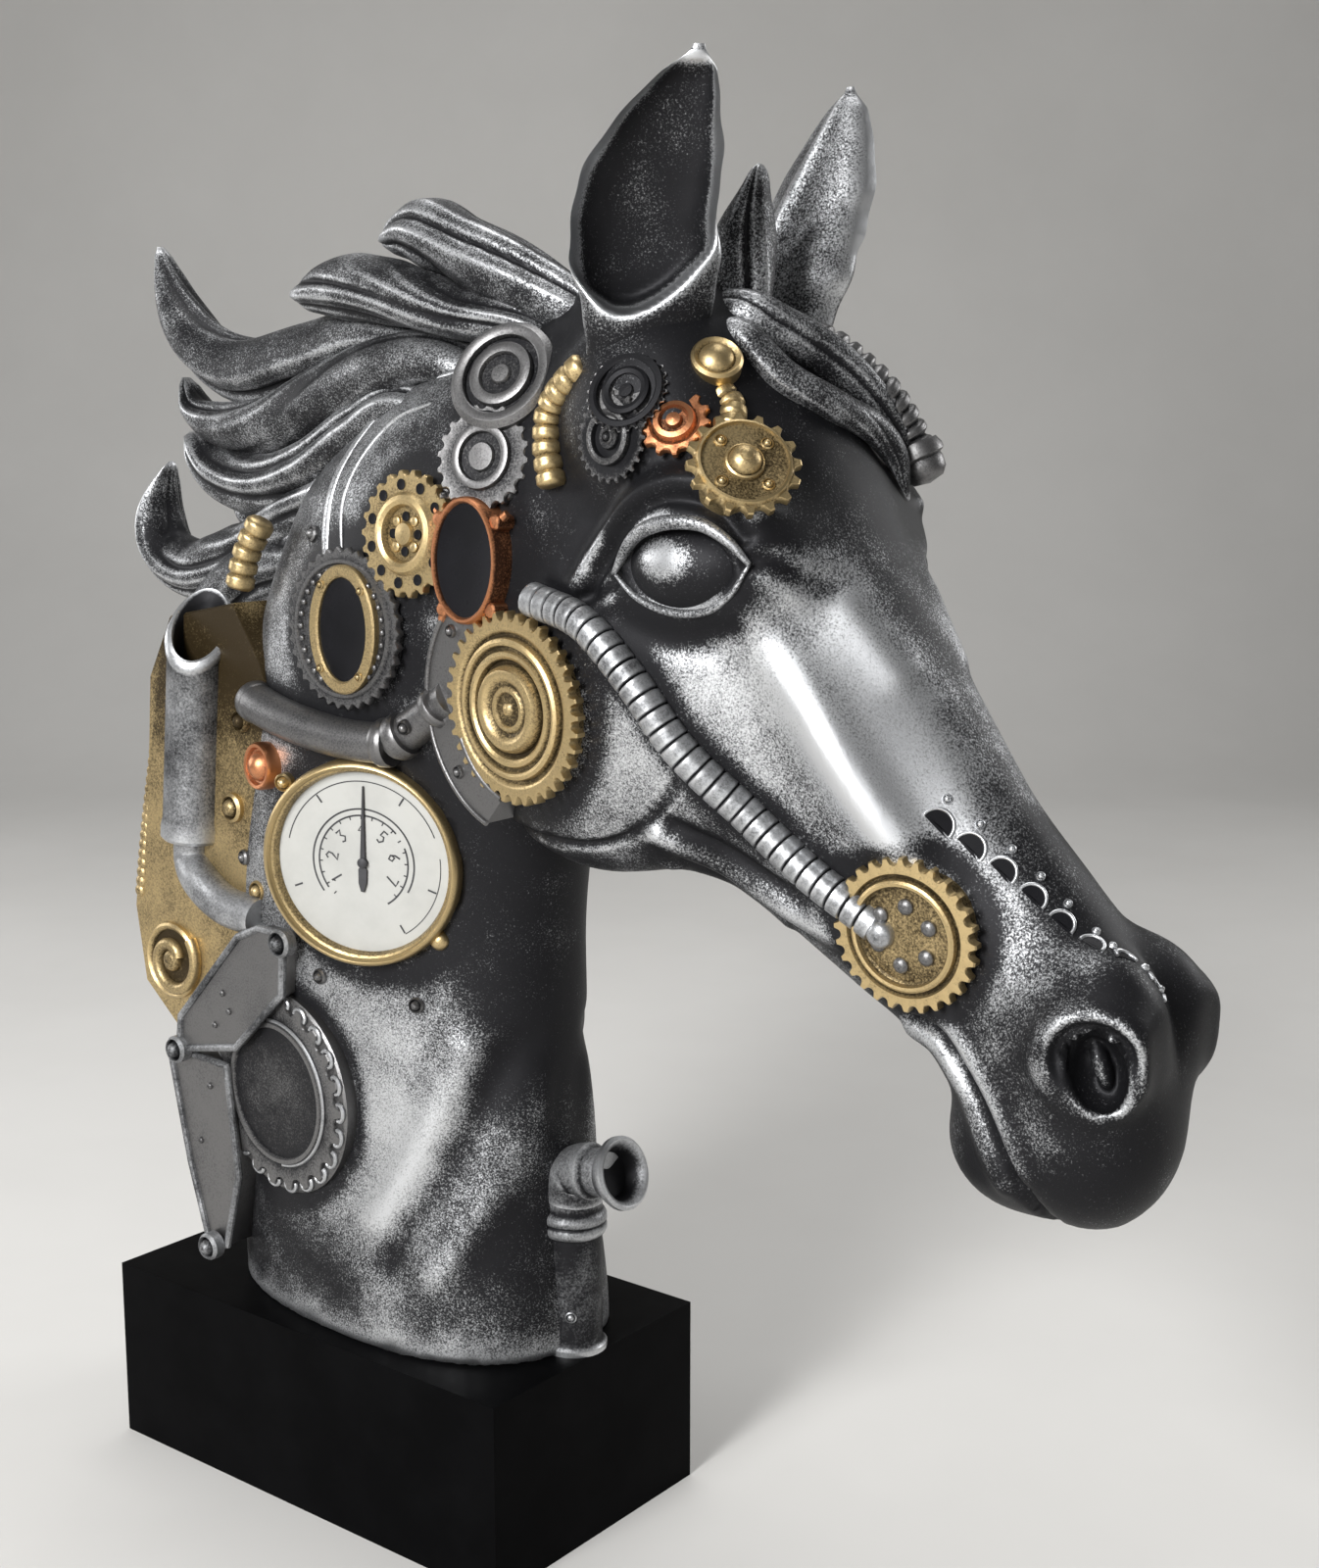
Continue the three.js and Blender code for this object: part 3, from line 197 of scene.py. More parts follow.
def seat_at(point, lift=0.0):
    """A frame on the skin nearest to a point in space."""
    p = np.array([point], float)
    for _ in range(12):
        g = slope(form, p)
        p = p - g * (form(*p.T) / np.maximum((g * g).sum(1), 0.1))[:, None]
    out = unit(slope(form, p))[0]
    return seat_on(p[0], out, lift)


def seat_raised(point, lift=0.0):
    """A frame on the finished skin, where the feet of the ears swell it."""
    made = seat_at(point)
    for _ in range(8):
        made[:3, 3] -= made[:3, 2] * carved(*made[:3, 3])
    made[:3, 3] += made[:3, 2] * lift
    return made


def seat_on(centre, out, reach):
    """A frame that faces out from a centre at a distance."""
    level = unit(np.cross((0, 0, 1), out))
    made = np.eye(4)
    made[:3, :3] = np.stack([level, np.cross(out, level), out], 1)
    made[:3, 3] = np.asarray(centre) + out * reach
    return made


def moved(points, pose):
    return np.asarray(points) @ pose[:3, :3].T + pose[:3, 3]


def shifted(pose, x=0.0, y=0.0, z=0.0, roll=0.0):
    """A frame moved and rolled within itself."""
    step = np.eye(4)
    step[:3, 3] = (x, y, z)
    c, s = math.cos(roll), math.sin(roll)
    step[:2, :2] = ((c, -s), (s, c))
    return pose @ step


# Places and sizes of the features, as in the CAD model.
CHEEK_PLACE = (66.7, 188.6)
NOSE_PLACE = (148, 154)
EYE_AT = (106.2, 22.4, 217.4)
EYE_RADII = (15, 11.2, 10)
EYE_CORNERS = ((91.2, 215.6), (121.2, 218.4))
UPPER_LID = [EYE_CORNERS[0], (95, 220), (99.5, 223.4), (106, 225.4), (112.8, 225.2), (118, 222.2),
             EYE_CORNERS[1]]
LOWER_LID = [EYE_CORNERS[0], (97, 211.4), (104.7, 209.2), (112.5, 209.9), (118, 213.4), EYE_CORNERS[1]]
BROW_COG_PLACE, COPPER_COG_PLACE = (116.4, 234.4), (103.8, 242.3)
STEEL_COG_PLACE, PIERCED_COG_PLACE = (56.5, 236), (36.8, 221)
PORT_PLATE_PLACE, COPPER_PORT_PLACE = (18, 201), (55, 216.5)
WHEEL_PLACE = (-9, 95)
GAUGE_PLACE = (19, 151.5)
GAUGE_LIFT, GAUGE_TURN = 0.8, 0.22
GAUGE_BORE = 21.4
NOSE_TIP = 193.0
NOSTRIL_PLACE = (184.5, 137)
NOSTRIL_TILT = 0.3
MOUTH = [(145, 136.5), (149, 136.4), (154, 134.5), (159.5, 128.5), (164, 121.5), (169, 113), (173, 104),
         (175.5, 97)]

# Relief on the skin: path in the side view, half width, height (below nought for a groove), and its sides.
RELIEF = [
    ([(82, 213), (87, 220), (95.2, 227.5), (104.8, 232.4), (114.6, 231.6), (121, 227)], 2.3, 2.0, BOTH),
    ([(84, 211), (90, 219), (96.5, 225.6), (105.5, 229.8), (114.5, 228.3), (120, 223)], 1.3, -1.6, BOTH),
    ([(80, 216), (86, 225), (95, 233), (106, 238), (118, 238)], 2.6, -0.9, BOTH),
    ([(92, 215), (87, 211.5), (80, 210.5), (74, 212)], 1.5, -1.4, BOTH),
    ([(90, 211), (84, 207.5), (76, 207)], 2.2, 1.0, BOTH),
    ([(92, 208), (99, 204.8), (107, 203.6), (116, 206)], 3.0, -0.8, BOTH),
    ([(121, 219), (125, 219), (130, 214)], 2.0, -1.2, BOTH),
    ([(128, 219), (133, 211), (141, 200)], 3.0, 1.0, BOTH),
    ([(117, 208), (126, 200), (138, 183), (150, 166)], 6.0, 0.75, BOTH),
    ([(118, 216), (129, 203), (141, 186), (153, 169)], 3.0, -0.45, BOTH),
    ([(96, 166.5), (102, 163.2), (109, 158.6), (121.5, 153.1), (133, 150)], 2.4, 1.5, BOTH),
    ([(100, 168.6), (106, 165.6), (113.5, 161.4), (124.5, 156.2)], 1.7, -1.5, BOTH),
    ([(99, 160.5), (106, 157.2), (114, 152.6), (124, 148.4)], 1.5, -1.3, BOTH),
    ([(96, 158), (105, 153.2), (115, 148.4)], 2.0, 1.0, BOTH),
    (MOUTH, 1.1, -2.8, BOTH),
    ([(146, 139), (154, 138), (160.5, 131.5), (166, 123.5), (171.5, 114)], 2.0, 1.0, BOTH),
    ([(144, 133.5), (151, 132.4), (156.8, 126.4), (161.2, 118.5), (166, 110)], 2.2, 1.2, BOTH),
    ([(102.7, 177), (97.3, 170.3), (89.5, 165.3), (79.6, 162.3), (65.3, 162), (49, 163.6)], 0.75, -1.3,
     (SEEN,)),
    ([(49, 113), (44, 102), (38, 88), (29, 73), (24, 63)], 3.4, -1.3, BOTH),
    ([(40, 112), (35, 98), (28, 84), (20, 72)], 4.5, 1.1, BOTH),
    ([(54, 104), (50, 90), (44, 76), (36, 62)], 3.6, 1.2, BOTH),
]


def path_distance(x, z, path):
    """How far side-view points lie from a drawn path."""
    path = np.array(path, float)
    best = np.full(x.shape, 1e9)
    for (ax, az), (bx, bz) in zip(path[:-1], path[1:]):
        dx, dz = bx - ax, bz - az
        t = np.clip(((x - ax) * dx + (z - az) * dz) / (dx * dx + dz * dz), 0, 1)
        best = np.minimum(best, np.hypot(x - ax - t * dx, z - az - t * dz))
    return best


def relief(p, n):
    """The height of the soft carving at skin points."""
    x, y, z = p.T
    outward = smooth_step(0.1, 0.45, np.abs(n[:, 1]))
    total = np.zeros(len(p))
    for path, half, height, sides in RELIEF:
        near = path_distance(x, z, smooth_path(path, 24)[:, [0, 1]])
        on = np.isin(np.sign(y), sides) if len(sides) == 1 else 1
        total += height * np.exp(-((near / half) ** 2)) * on * outward
    return total


def egg(x, y, z, pose, radii):
    """A field of one egg in a frame."""
    q = np.stack(np.broadcast_arrays(x, y, z), -1) - pose[:3, 3]
    q = q @ pose[:3, :3] / np.array(radii)
    far = np.sqrt((q * q).sum(-1))
    steep = np.sqrt(((q / np.array(radii)) ** 2).sum(-1))
    return (far - 1) * far / np.maximum(steep, 1e-6)


def hoop(x, y, z, pose, wide, tall, thick, open_way=None):
    """A field of one oval ring that lies in a frame, and thins away from its open side."""
    q = np.stack(np.broadcast_arrays(x, y, z), -1) - pose[:3, 3]
    q = q @ pose[:3, :3]
    far = np.hypot(q[..., 0] / wide, q[..., 1] / tall)
    flat = (far - 1) * min(wide, tall)
    if open_way is not None:
        along = (q[..., 0] / wide * open_way[0] + q[..., 1] / tall * open_way[1]) / np.maximum(far, 1e-3)
        thick = thick * smooth_step(0.75, -0.35, along) - 0.5 * smooth_step(0.2, 0.9, along)
    return np.hypot(flat, q[..., 2]) - thick


def ear_foot(side):
    """The middle of the swelling that an ear stands on."""
    made = np.eye(4)
    made[:3, 3] = (92, side * 17, 247)
    return made


def carved(x, y, z):
    """The free form with nostrils, sockets and ear feet, cut flat a little under the top of the block."""
    whole = form(x, y, z)
    for side in BOTH:
        pose = seat(*NOSTRIL_PLACE, side)
        wing = hoop(x, y, z, shifted(pose, y=-0.6, z=-1.5), 8.6, 8.2, 0.9, (-0.3 * side, -0.95))
        whole = smooth_min(whole, wing, 6.5)
        whole = smooth_max(whole, -egg(x, y, z, shifted(pose, y=0.8, z=0.8), (7.4, 6.4, 4.6)), 1.4)
        inner = shifted(pose, x=-0.6 * side, y=-2.2, z=-1.3, roll=-side * NOSTRIL_TILT)
        whole = smooth_min(whole, hoop(x, y, z, inner, 5.6, 7.6, 0.6), 1.4)
        whole = smooth_max(whole, -egg(x, y, z, shifted(inner, z=0.3), (4.8, 6.8, 6.5)), 0.8)
        whole = smooth_min(whole, egg(x, y, z, shifted(inner, z=-4.2), (1.6, 4.4, 2.0)), 1.0)
        whole = smooth_min(whole, egg(x, y, z, ear_foot(side), (14, 12, 17)), 11)
        socket = np.eye(4)
        socket[:3, 3] = (EYE_AT[0], side * 33.5, EYE_AT[2])
        whole = smooth_max(whole, -egg(x, y, z, socket, (14.4, 6, 8.4)), 1.2)
    gauge = seat(*GAUGE_PLACE, SEEN, GAUGE_LIFT, GAUGE_TURN)
    q = (np.stack(np.broadcast_arrays(x, y, z), -1) - gauge[:3, 3]) @ gauge[:3, :3]
    whole = np.maximum(whole, -np.maximum(np.hypot(q[..., 0], q[..., 1]) - GAUGE_BORE, -0.6 - q[..., 2]))
    whole = smooth_max(whole, x - NOSE_TIP, 1.2)
    return np.maximum(whole, FOOT - 0.3 - z)


# Meshes.


def smooth_path(path, count):
    """Evenly spaced points on a Catmull-Rom curve through the path."""
    path = np.array(path, float)
    ends = np.concatenate([[2 * path[0] - path[1]], path, [2 * path[-1] - path[-2]]])
    dense = []
    for i in range(1, len(ends) - 2):
        t = np.linspace(0, 1, 24, endpoint=False)[:, None]
        a, b, c, d = ends[i - 1:i + 3]
        dense.append(0.5 * (2 * b + (c - a) * t + (2 * a - 5 * b + 4 * c - d) * t ** 2
                            + (3 * b - a - 3 * c + d) * t ** 3))
    dense = np.concatenate(dense + [path[-1:]])
    along = np.concatenate([[0], np.cumsum(np.linalg.norm(np.diff(dense, axis=0), axis=1))])
    even = np.linspace(0, along[-1], count)
    return np.stack([np.interp(even, along, dense[:, m]) for m in range(dense.shape[1])], 1)


def rows_to_mesh(rings, closed=False):
    """A closed body from rings of points: rings is (rows, sides, 3)."""
    rows, sides = rings.shape[:2]
    i, j = np.meshgrid(np.arange(rows if closed else rows - 1), np.arange(sides), indexing="ij")
    nxt, side = (i + 1) % rows, (j + 1) % sides
    faces = np.stack([i * sides + j, i * sides + side, nxt * sides + side, nxt * sides + j], -1)
    faces = [tuple(f) for f in faces.reshape(-1, 4)]
    if not closed:
        faces.append(tuple(range(sides))[::-1])
        faces.append(tuple(range((rows - 1) * sides, rows * sides)))
    return rings.reshape(-1, 3), faces


def joined(parts):
    """Several bodies as one list of points and faces."""
    points, faces, start = [], [], 0
    for p, f in parts:
        points.append(p)
        faces += [tuple(start + v for v in face) for face in f]
        start += len(p)
    return np.concatenate(points), faces


def turned(profile, sides=64, teeth=0, tooth=0.0, closed=False):
    """A body turned about +Z from (radius, height) pairs. Pairs marked True are scalloped between teeth."""
    turn = 2 * np.pi * np.arange(sides) / sides
    phase = np.mod(turn * teeth / (2 * np.pi), 1) - 0.5
    wave = 1 - np.sqrt(np.maximum(1 - (phase / 0.36) ** 2, 0)) if teeth else 0
    rings = []
    for r, h, *toothed in profile:
        radius = r - (tooth * (1 - wave) if toothed and toothed[0] else 0)
        radius = np.broadcast_to(radius, turn.shape)
        rings.append(np.stack([radius * np.cos(turn), radius * np.sin(turn), np.full(sides, float(h))], 1))
    return rows_to_mesh(np.array(rings), closed)


def placed(body, pose):
    return moved(body[0], pose), body[1]


def path_frames(points, up=None):
    """Unit vectors ahead, across and up along a path."""
    ahead = unit(np.gradient(points, axis=0))
    if up is None:
        ups = np.zeros_like(points)
        ups[0] = unit(np.cross(ahead[0], (0.31, 0.2, 0.93)))
        for i in range(1, len(points)):
            ups[i] = unit(ups[i - 1] - ahead[i] * (ups[i - 1] @ ahead[i]))
    else:
        ups = unit(np.broadcast_to(up, points.shape) - ahead * (ahead * up).sum(-1, keepdims=True))
    return ahead, np.cross(ahead, ups), ups


def tube(points, wide, tall=None, sides=16, up=None):
    """A closed tube of one or varying half sizes along points."""
    count = len(points)
    wide = np.broadcast_to(np.asarray(wide, float), (count,))
    tall = wide if tall is None else np.broadcast_to(np.asarray(tall, float), (count,))
    _, across, upward = path_frames(points, up)
    turn = 2 * np.pi * np.arange(sides) / sides
    c = (wide[:, None] * np.cos(turn))[..., None]
    s = (tall[:, None] * np.sin(turn))[..., None]
    return rows_to_mesh(points[:, None] + across[:, None] * c + upward[:, None] * s)


def ribs(share, count, depth, flat):
    """Radius factor of a banded hose: bands with narrow grooves between them."""
    phase = np.mod(share * count, 1)
    edge = np.minimum(phase, 1 - phase)
    return 1 - depth * (1 - smooth_step(0, flat, edge))


def skin_path(path, count, side=SEEN, lift=0.0):
    """A smooth path on the skin, with its normals."""
    return on_skin(smooth_path(path, count), side, lift)


def hose(path, radius, bands, side, lift, depth=0.14, flat=0.16, steps=9, sides=18):
    """A banded hose that lies on the skin."""
    count = bands * steps + 1
    points, normals = skin_path(path, count, side, lift)
    share = np.linspace(0, 1, count)
    return tube(points, radius * ribs(share, bands, depth, flat), sides=sides, up=normals)


def cord_on_skin(path, half, height, count=40):
    """A low rounded bead that follows the skin on the seen side and fades at both ends."""
    points, normals = skin_path(path, count)
    fade = np.sqrt(np.clip(np.sin(np.pi * np.linspace(0.02, 0.98, count)) * 2.2, 0.05, 1))
    return tube(points, half * fade, height * fade, 10, normals)


def button(radius, low, height, sides=24):
    """A round-topped button."""
    steps = np.linspace(0, np.pi / 2, 6)
    dome = [(radius * math.cos(a), 0.3 * height + 0.7 * height * math.sin(a)) for a in steps[:-1]]
    return turned([(radius, low), *dome, (0.02, height)], sides)


def rivet(radius, height=0.9, sides=14):
    """A small ring with a round head in it."""
    return turned([(radius, -1), (radius, 0.5 * height), (0.82 * radius, 0.8 * height),
                   (0.66 * radius, 0.3 * height), (0.5 * radius, 0.9 * height), (0.25 * radius, 1.2 * height),
                   (0.02, 1.25 * height)], sides)


def prism(outline, low, high, bevel=0.4):
    """A flat plate of a drawn outline with an eased top edge."""
    drawn = np.array(outline, float)
    middle = drawn.mean(0)
    rings = []
    for shrink, height in ((0, low), (0, high - bevel), (bevel, high)):
        inward = unit(middle - drawn) * shrink
        rings.append(np.column_stack([drawn + inward, np.full(len(drawn), height)]))
    return rows_to_mesh(np.array(rings))


def oval_ring(long, wide, profile, sides=56):
    """A closed oval frame from (inset, height) pairs that run round its section."""
    turn = 2 * np.pi * np.arange(sides) / sides
    rings = [np.stack([(wide - inset) * np.cos(turn), (long - inset) * np.sin(turn),
                       np.full(sides, float(height))], 1)
             for inset, height in profile]
    return rows_to_mesh(np.array(rings), closed=True)


def oval_disc(long, wide, low, high, dish=0.0, sides=56):
    """A solid oval disc, dished in the middle."""
    turn = 2 * np.pi * np.arange(sides) / sides
    rings = []
    for share, height in ((1, low), (1, high), (0.7, high - 0.6 * dish), (0.35, high - 0.9 * dish),
                          (0.02, high - dish)):
        rings.append(np.stack([wide * share * np.cos(turn), long * share * np.sin(turn),
                               np.full(sides, height)], 1))
    return rows_to_mesh(np.array(rings))


# The skin of the free form.
FACE_STEP, NECK_STEP, SIDE_STEP = 1.4, 2.4, 1.5
FINE_ZONES = [((106, 218), 21), ((183, 138), 14), ((160, 126), 17), ((80, 166), 9), ((110, 158), 12)]


def grid_lines(low, middle, high, first, second):
    """Grid lines from low to high that change their pitch at middle."""
    a = np.linspace(low, middle, int(math.ceil((middle - low) / first)) + 1)
    b = np.linspace(middle, high, int(math.ceil((high - middle) / second)) + 1)
    return np.concatenate([a, b[1:]])


def surface_net(field, xs, ys, zs):
    """Points and four-sided faces on the zero level of a field, one point for each grid cell it crosses."""
    value = field(xs[:, None, None], ys[None, :, None], zs[None, None, :])
    inside = value < 0
    corner = [(i, j, k) for i in (0, 1) for j in (0, 1) for k in (0, 1)]
    shape = np.array(value.shape) - 1
    stack = np.stack([inside[i:i + shape[0], j:j + shape[1], k:k + shape[2]] for i, j, k in corner])
    active = stack.any(0) & ~stack.all(0)
    cells = np.argwhere(active)
    number = np.full(shape, -1)
    number[tuple(cells.T)] = np.arange(len(cells))
    lines = (xs, ys, zs)
    total, count = np.zeros((len(cells), 3)), np.zeros(len(cells))
    for a in corner:
        for m in range(3):
            if a[m]:
                continue
            b = tuple(v + (n == m) for n, v in enumerate(a))
            fa = value[tuple((cells + a).T)]
            fb = value[tuple((cells + b).T)]
            cross = (fa < 0) != (fb < 0)
            t = np.where(cross, fa / np.where(cross, fa - fb, 1), 0)
            for n in range(3):
                pa, pb = lines[n][cells[:, n] + a[n]], lines[n][cells[:, n] + b[n]]
                total[:, n] += np.where(cross, pa + (pb - pa) * t, 0)
            count += cross
    faces = []
    for m in range(3):
        u, v = (m + 1) % 3, (m + 2) % 3
        low = [slice(1, -1)] * 3
        low[m] = slice(0, -1)
        high = list(low)
        high[m] = slice(1, None)
        here, there = inside[tuple(low)], inside[tuple(high)]
        offset = np.array([1, 1, 1])
        offset[m] = 0
        at = np.argwhere(here != there) + offset
        first = inside[tuple(at.T)]
        ring = []
        for du, dv in ((-1, -1), (0, -1), (0, 0), (-1, 0)):
            cell = at.copy()
            cell[:, u] += du
            cell[:, v] += dv
            ring.append(number[tuple(cell.T)])
        ring = np.stack(ring, 1)
        ring[~first] = ring[~first][:, ::-1]
        faces.append(ring)
    return total / count[:, None], np.concatenate(faces)


def settled(field, points, reach=0.6):
    """Points moved onto the zero level of a field."""
    for _ in range(3):
        g = slope(field, points)
        steep = np.maximum(np.linalg.norm(g, axis=1), 0.3)
        step = np.clip(field(*points.T) / steep, -reach, reach) / steep
        points = points - g * step[:, None]
    return points


def refine(points, faces, field):
    """Cuts the faces near fine features into four and settles the new points."""
    made = bmesh.new()
    verts = [made.verts.new(p) for p in points]
    for face in faces:
        made.faces.new([verts[i] for i in face])
    chosen = set()
    for edge in made.edges:
        x, _, z = (edge.verts[0].co + edge.verts[1].co) / 2
        if any(math.hypot(x - cx, z - cz) < radius for (cx, cz), radius in FINE_ZONES):
            chosen.add(edge)
    bmesh.ops.subdivide_edges(made, edges=list(chosen), cuts=1, use_grid_fill=True)
    bmesh.ops.triangulate(made, faces=[f for f in made.faces if len(f.verts) > 4])
    made.verts.index_update()
    new_points = np.array([v.co for v in made.verts])
    new_faces = [tuple(v.index for v in f.verts) for f in made.faces]
    made.free()
    return settled(field, new_points, 0.3), new_faces


def skin_mesh():
    """The head and neck with sockets, nostrils, mouth and folds."""
    xs = grid_lines(-56, 64, 200, NECK_STEP, FACE_STEP)
    ys = np.linspace(-45, 45, int(90 / SIDE_STEP))
    zs = grid_lines(FOOT - 4, 98, 276, NECK_STEP, FACE_STEP)
    points, faces = surface_net(carved, xs, ys, zs)
    points, faces = refine(settled(carved, points), faces, carved)
    normals = unit(slope(carved, points))
    above = smooth_step(FOOT, FOOT + 3, points[:, 2])
    return points + normals * (relief(points, normals) * above)[:, None], faces


# Wear and painted light: how far each point is rubbed bright, with painted shade and painted highlights
# added. It is kept on the mesh and read by the paint.


def bulge(mesh, rounds):
    """How far each point stands out from its neighbours, evened out over some rounds."""
    count = len(mesh.vertices)
    co = np.zeros(count * 3)
    mesh.vertices.foreach_get("co", co)
    co = co.reshape(-1, 3)
    normal = np.zeros(count * 3)
    mesh.vertices.foreach_get("normal", normal)
    normal = normal.reshape(-1, 3)
    edge = np.zeros(len(mesh.edges) * 2, int)
    mesh.edges.foreach_get("vertices", edge)
    a, b = edge.reshape(-1, 2).T
    reach = co[b] - co[a]
    length = np.maximum(np.linalg.norm(reach, axis=1), 1e-9)
    from_a = -(normal[a] * reach).sum(1) / length
    from_b = (normal[b] * reach).sum(1) / length
    degree = np.maximum(np.bincount(a, minlength=count) + np.bincount(b, minlength=count), 1)
    value = (np.bincount(a, from_a, count) + np.bincount(b, from_b, count)) / degree
    for _ in range(rounds):
        near = np.bincount(a, value[b], count) + np.bincount(b, value[a], count)
        value = 0.4 * value + 0.6 * near / degree
    return value, co / MM, normal


# Zones of the skin, on both sides: centre, radius and how much brighter or darker the paint is made, partly
# by wear and partly by painted highlights and painted shade.
WEAR_AND_LIGHT_ZONES = [
    ((95, -30, 238), 17, -0.3), ((80, -28, 213), 15, -0.25), ((121, -28, 214), 8, -0.2),
    ((60, -20, 172), 14, -0.12), ((104, -24, 166), 12, -0.12), ((188, -12, 120), 16, -0.4),
    ((166, -8, 104), 18, -0.5), ((54, -10, 150), 24, -0.35), ((56, -10, 112), 20, -0.5),
    ((-34, -20, 60), 26, -0.25), ((50, -12, 66), 20, -0.35), ((4, -28, 58), 22, -0.2),
    ((70, -10, 262), 24, -0.25), ((0, -24, 225), 20, -0.12), ((184, -16, 138), 9, -0.55),
    ((178, -14, 145), 9, -0.15), ((104, -20, 158), 12, -0.12), ((50, -26, 235), 22, -0.15),
    ((92, -20, 252), 16, -0.25), ((132, -24, 198), 20, 0.3), ((146, -18, 180), 16, 0.32),
    ((84, -34, 180), 16, 0.22), ((116, -24, 178), 12, 0.1), ((22, -28, 104), 24, 0.24),
    ((8, -28, 76), 20, 0.14), ((28, -28, 80), 16, 0.14), ((174, -16, 122), 9, 0.12),
    ((170, -14, 150), 8, 0.12), ((110, -30, 203), 9, 0.15), ((130, -16, 214), 9, 0.15),
    ((137.5, -14.4, 200), 11, 0.2), ((146.5, -13.6, 185), 11, 0.2), ((154.5, -13, 172), 9, 0.14),
]
# Rings of painted shade round what stands on the skin: place, radius and width.
FOOT_SHADE_RINGS = [
    (CHEEK_PLACE, 20, 3), (NOSE_PLACE, 15, 2.4), (BROW_COG_PLACE, 12, 2.2), (COPPER_COG_PLACE, 8, 2),
    ((57, 250), 12, 2), (STEEL_COG_PLACE, 11.5, 2), (PIERCED_COG_PLACE, 14, 2), (PORT_PLATE_PLACE, 18.5, 2.4),
    (COPPER_PORT_PLACE, 13, 2.4), (GAUGE_PLACE, 25, 3.4), (WHEEL_PLACE, 24, 2.4), ((106, 218.8), 14, 2.6),
]


def skin_shade(co, normal):
    """Zones of wear with painted highlights and shade, painted shade round the ornaments and hoses, and
    painted shade on the front of the nose, the undersides and the faces turned back.
    """
    # Painted shade on the front of the nose, darker where it faces forward and up.
    front = normal @ unit(np.array([0.8, 0.0, 0.6]))
    wear_and_shade = -0.3 * smooth_step(0.45, 0.85, front) * smooth_step(150, 200, co[:, 2] + co[:, 0] * 0.4)
    # Painted shade on faces turned down and on faces turned back.
    wear_and_shade -= 0.25 * smooth_step(0.2, 0.8, -normal[:, 2]) + 0.2 * smooth_step(0.5, 0.95, -normal[:, 0])
    for centre, radius, amount in WEAR_AND_LIGHT_ZONES:
        flipped = np.array([1, -1, 1]) * centre
        far = np.minimum(np.linalg.norm(co - centre, axis=1), np.linalg.norm(co - flipped, axis=1))
        wear_and_shade += amount * np.exp(-((far / radius) ** 2))
    # Painted shade in a ring round the foot of each ornament.
    for place, radius, width in FOOT_SHADE_RINGS:
        far = np.linalg.norm(co - on_skin([place])[0][0], axis=1)
        wear_and_shade -= 0.5 * np.exp(-(((far - radius) / width) ** 2))
    # Painted shade in a band along each side of the cheek hose and the neck pipe.
    for path in (CHEEK_HOSE, NECK_PIPE):
        points = skin_path(path, 30)[0]
        far = np.min(np.linalg.norm(co[:, None] - points[None], axis=2), axis=1)
        wear_and_shade -= 0.4 * np.exp(-(((far - 4) / 2.2) ** 2))
    return wear_and_shade


def set_wear_and_shade(mesh, base, gain, wide_gain=0.0, shade=None):
    """Stores the wear of each point, with the painted shade and highlights from shade, as a point attribute.
    """
    fine, co, normal = bulge(mesh, 1)
    wear_and_shade = base + gain * fine
    if wide_gain:
        wear_and_shade += wide_gain * bulge(mesh, 14)[0]
    if shade:
        wear_and_shade += shade(co, normal)
    store = mesh.attributes.new("wear_and_shade", "FLOAT", "POINT")
    store.data.foreach_set("value", np.clip(wear_and_shade, 0.07, 1).astype(np.float32))


def add(name, body, material, slot, base=0.55, gain=0.9, sharp=35, **wear):
    """Makes one piece from points in millimetres and faces, and seats it on the bust."""
    points, faces = body
    mesh = bpy.data.meshes.new(name)
    mesh.from_pydata((np.asarray(points) * MM).tolist(), [], [list(map(int, f)) for f in faces])
    made = bmesh.new()
    made.from_mesh(mesh)
    bmesh.ops.recalc_face_normals(made, faces=made.faces)
    made.to_mesh(mesh)
    made.free()
    mesh.shade_smooth()
    if sharp:
        mesh.set_sharp_from_angle(angle=math.radians(sharp))
    set_wear_and_shade(mesh, base, gain, **wear)
    mesh.materials.append(material)
    piece = bpy.data.objects.new(name, mesh)
    bpy.context.scene.collection.objects.link(piece)
    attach(piece, "root")
    return piece


# Paints.


def node(tree, kind, values=(), **settings):
    """Adds a node, sets its settings and gives its inputs values or links."""
    made = tree.nodes.new(kind)
    for key, value in settings.items():
        setattr(made, key, value)
    for key, value in dict(values).items():
        if isinstance(value, bpy.types.NodeSocket):
            tree.links.new(value, made.inputs[key])
        else:
            made.inputs[key].default_value = value
    return made


def arithmetic(tree, operation, a, b):
    return node(tree, "ShaderNodeMath", {0: a, 1: b}, operation=operation).outputs[0]


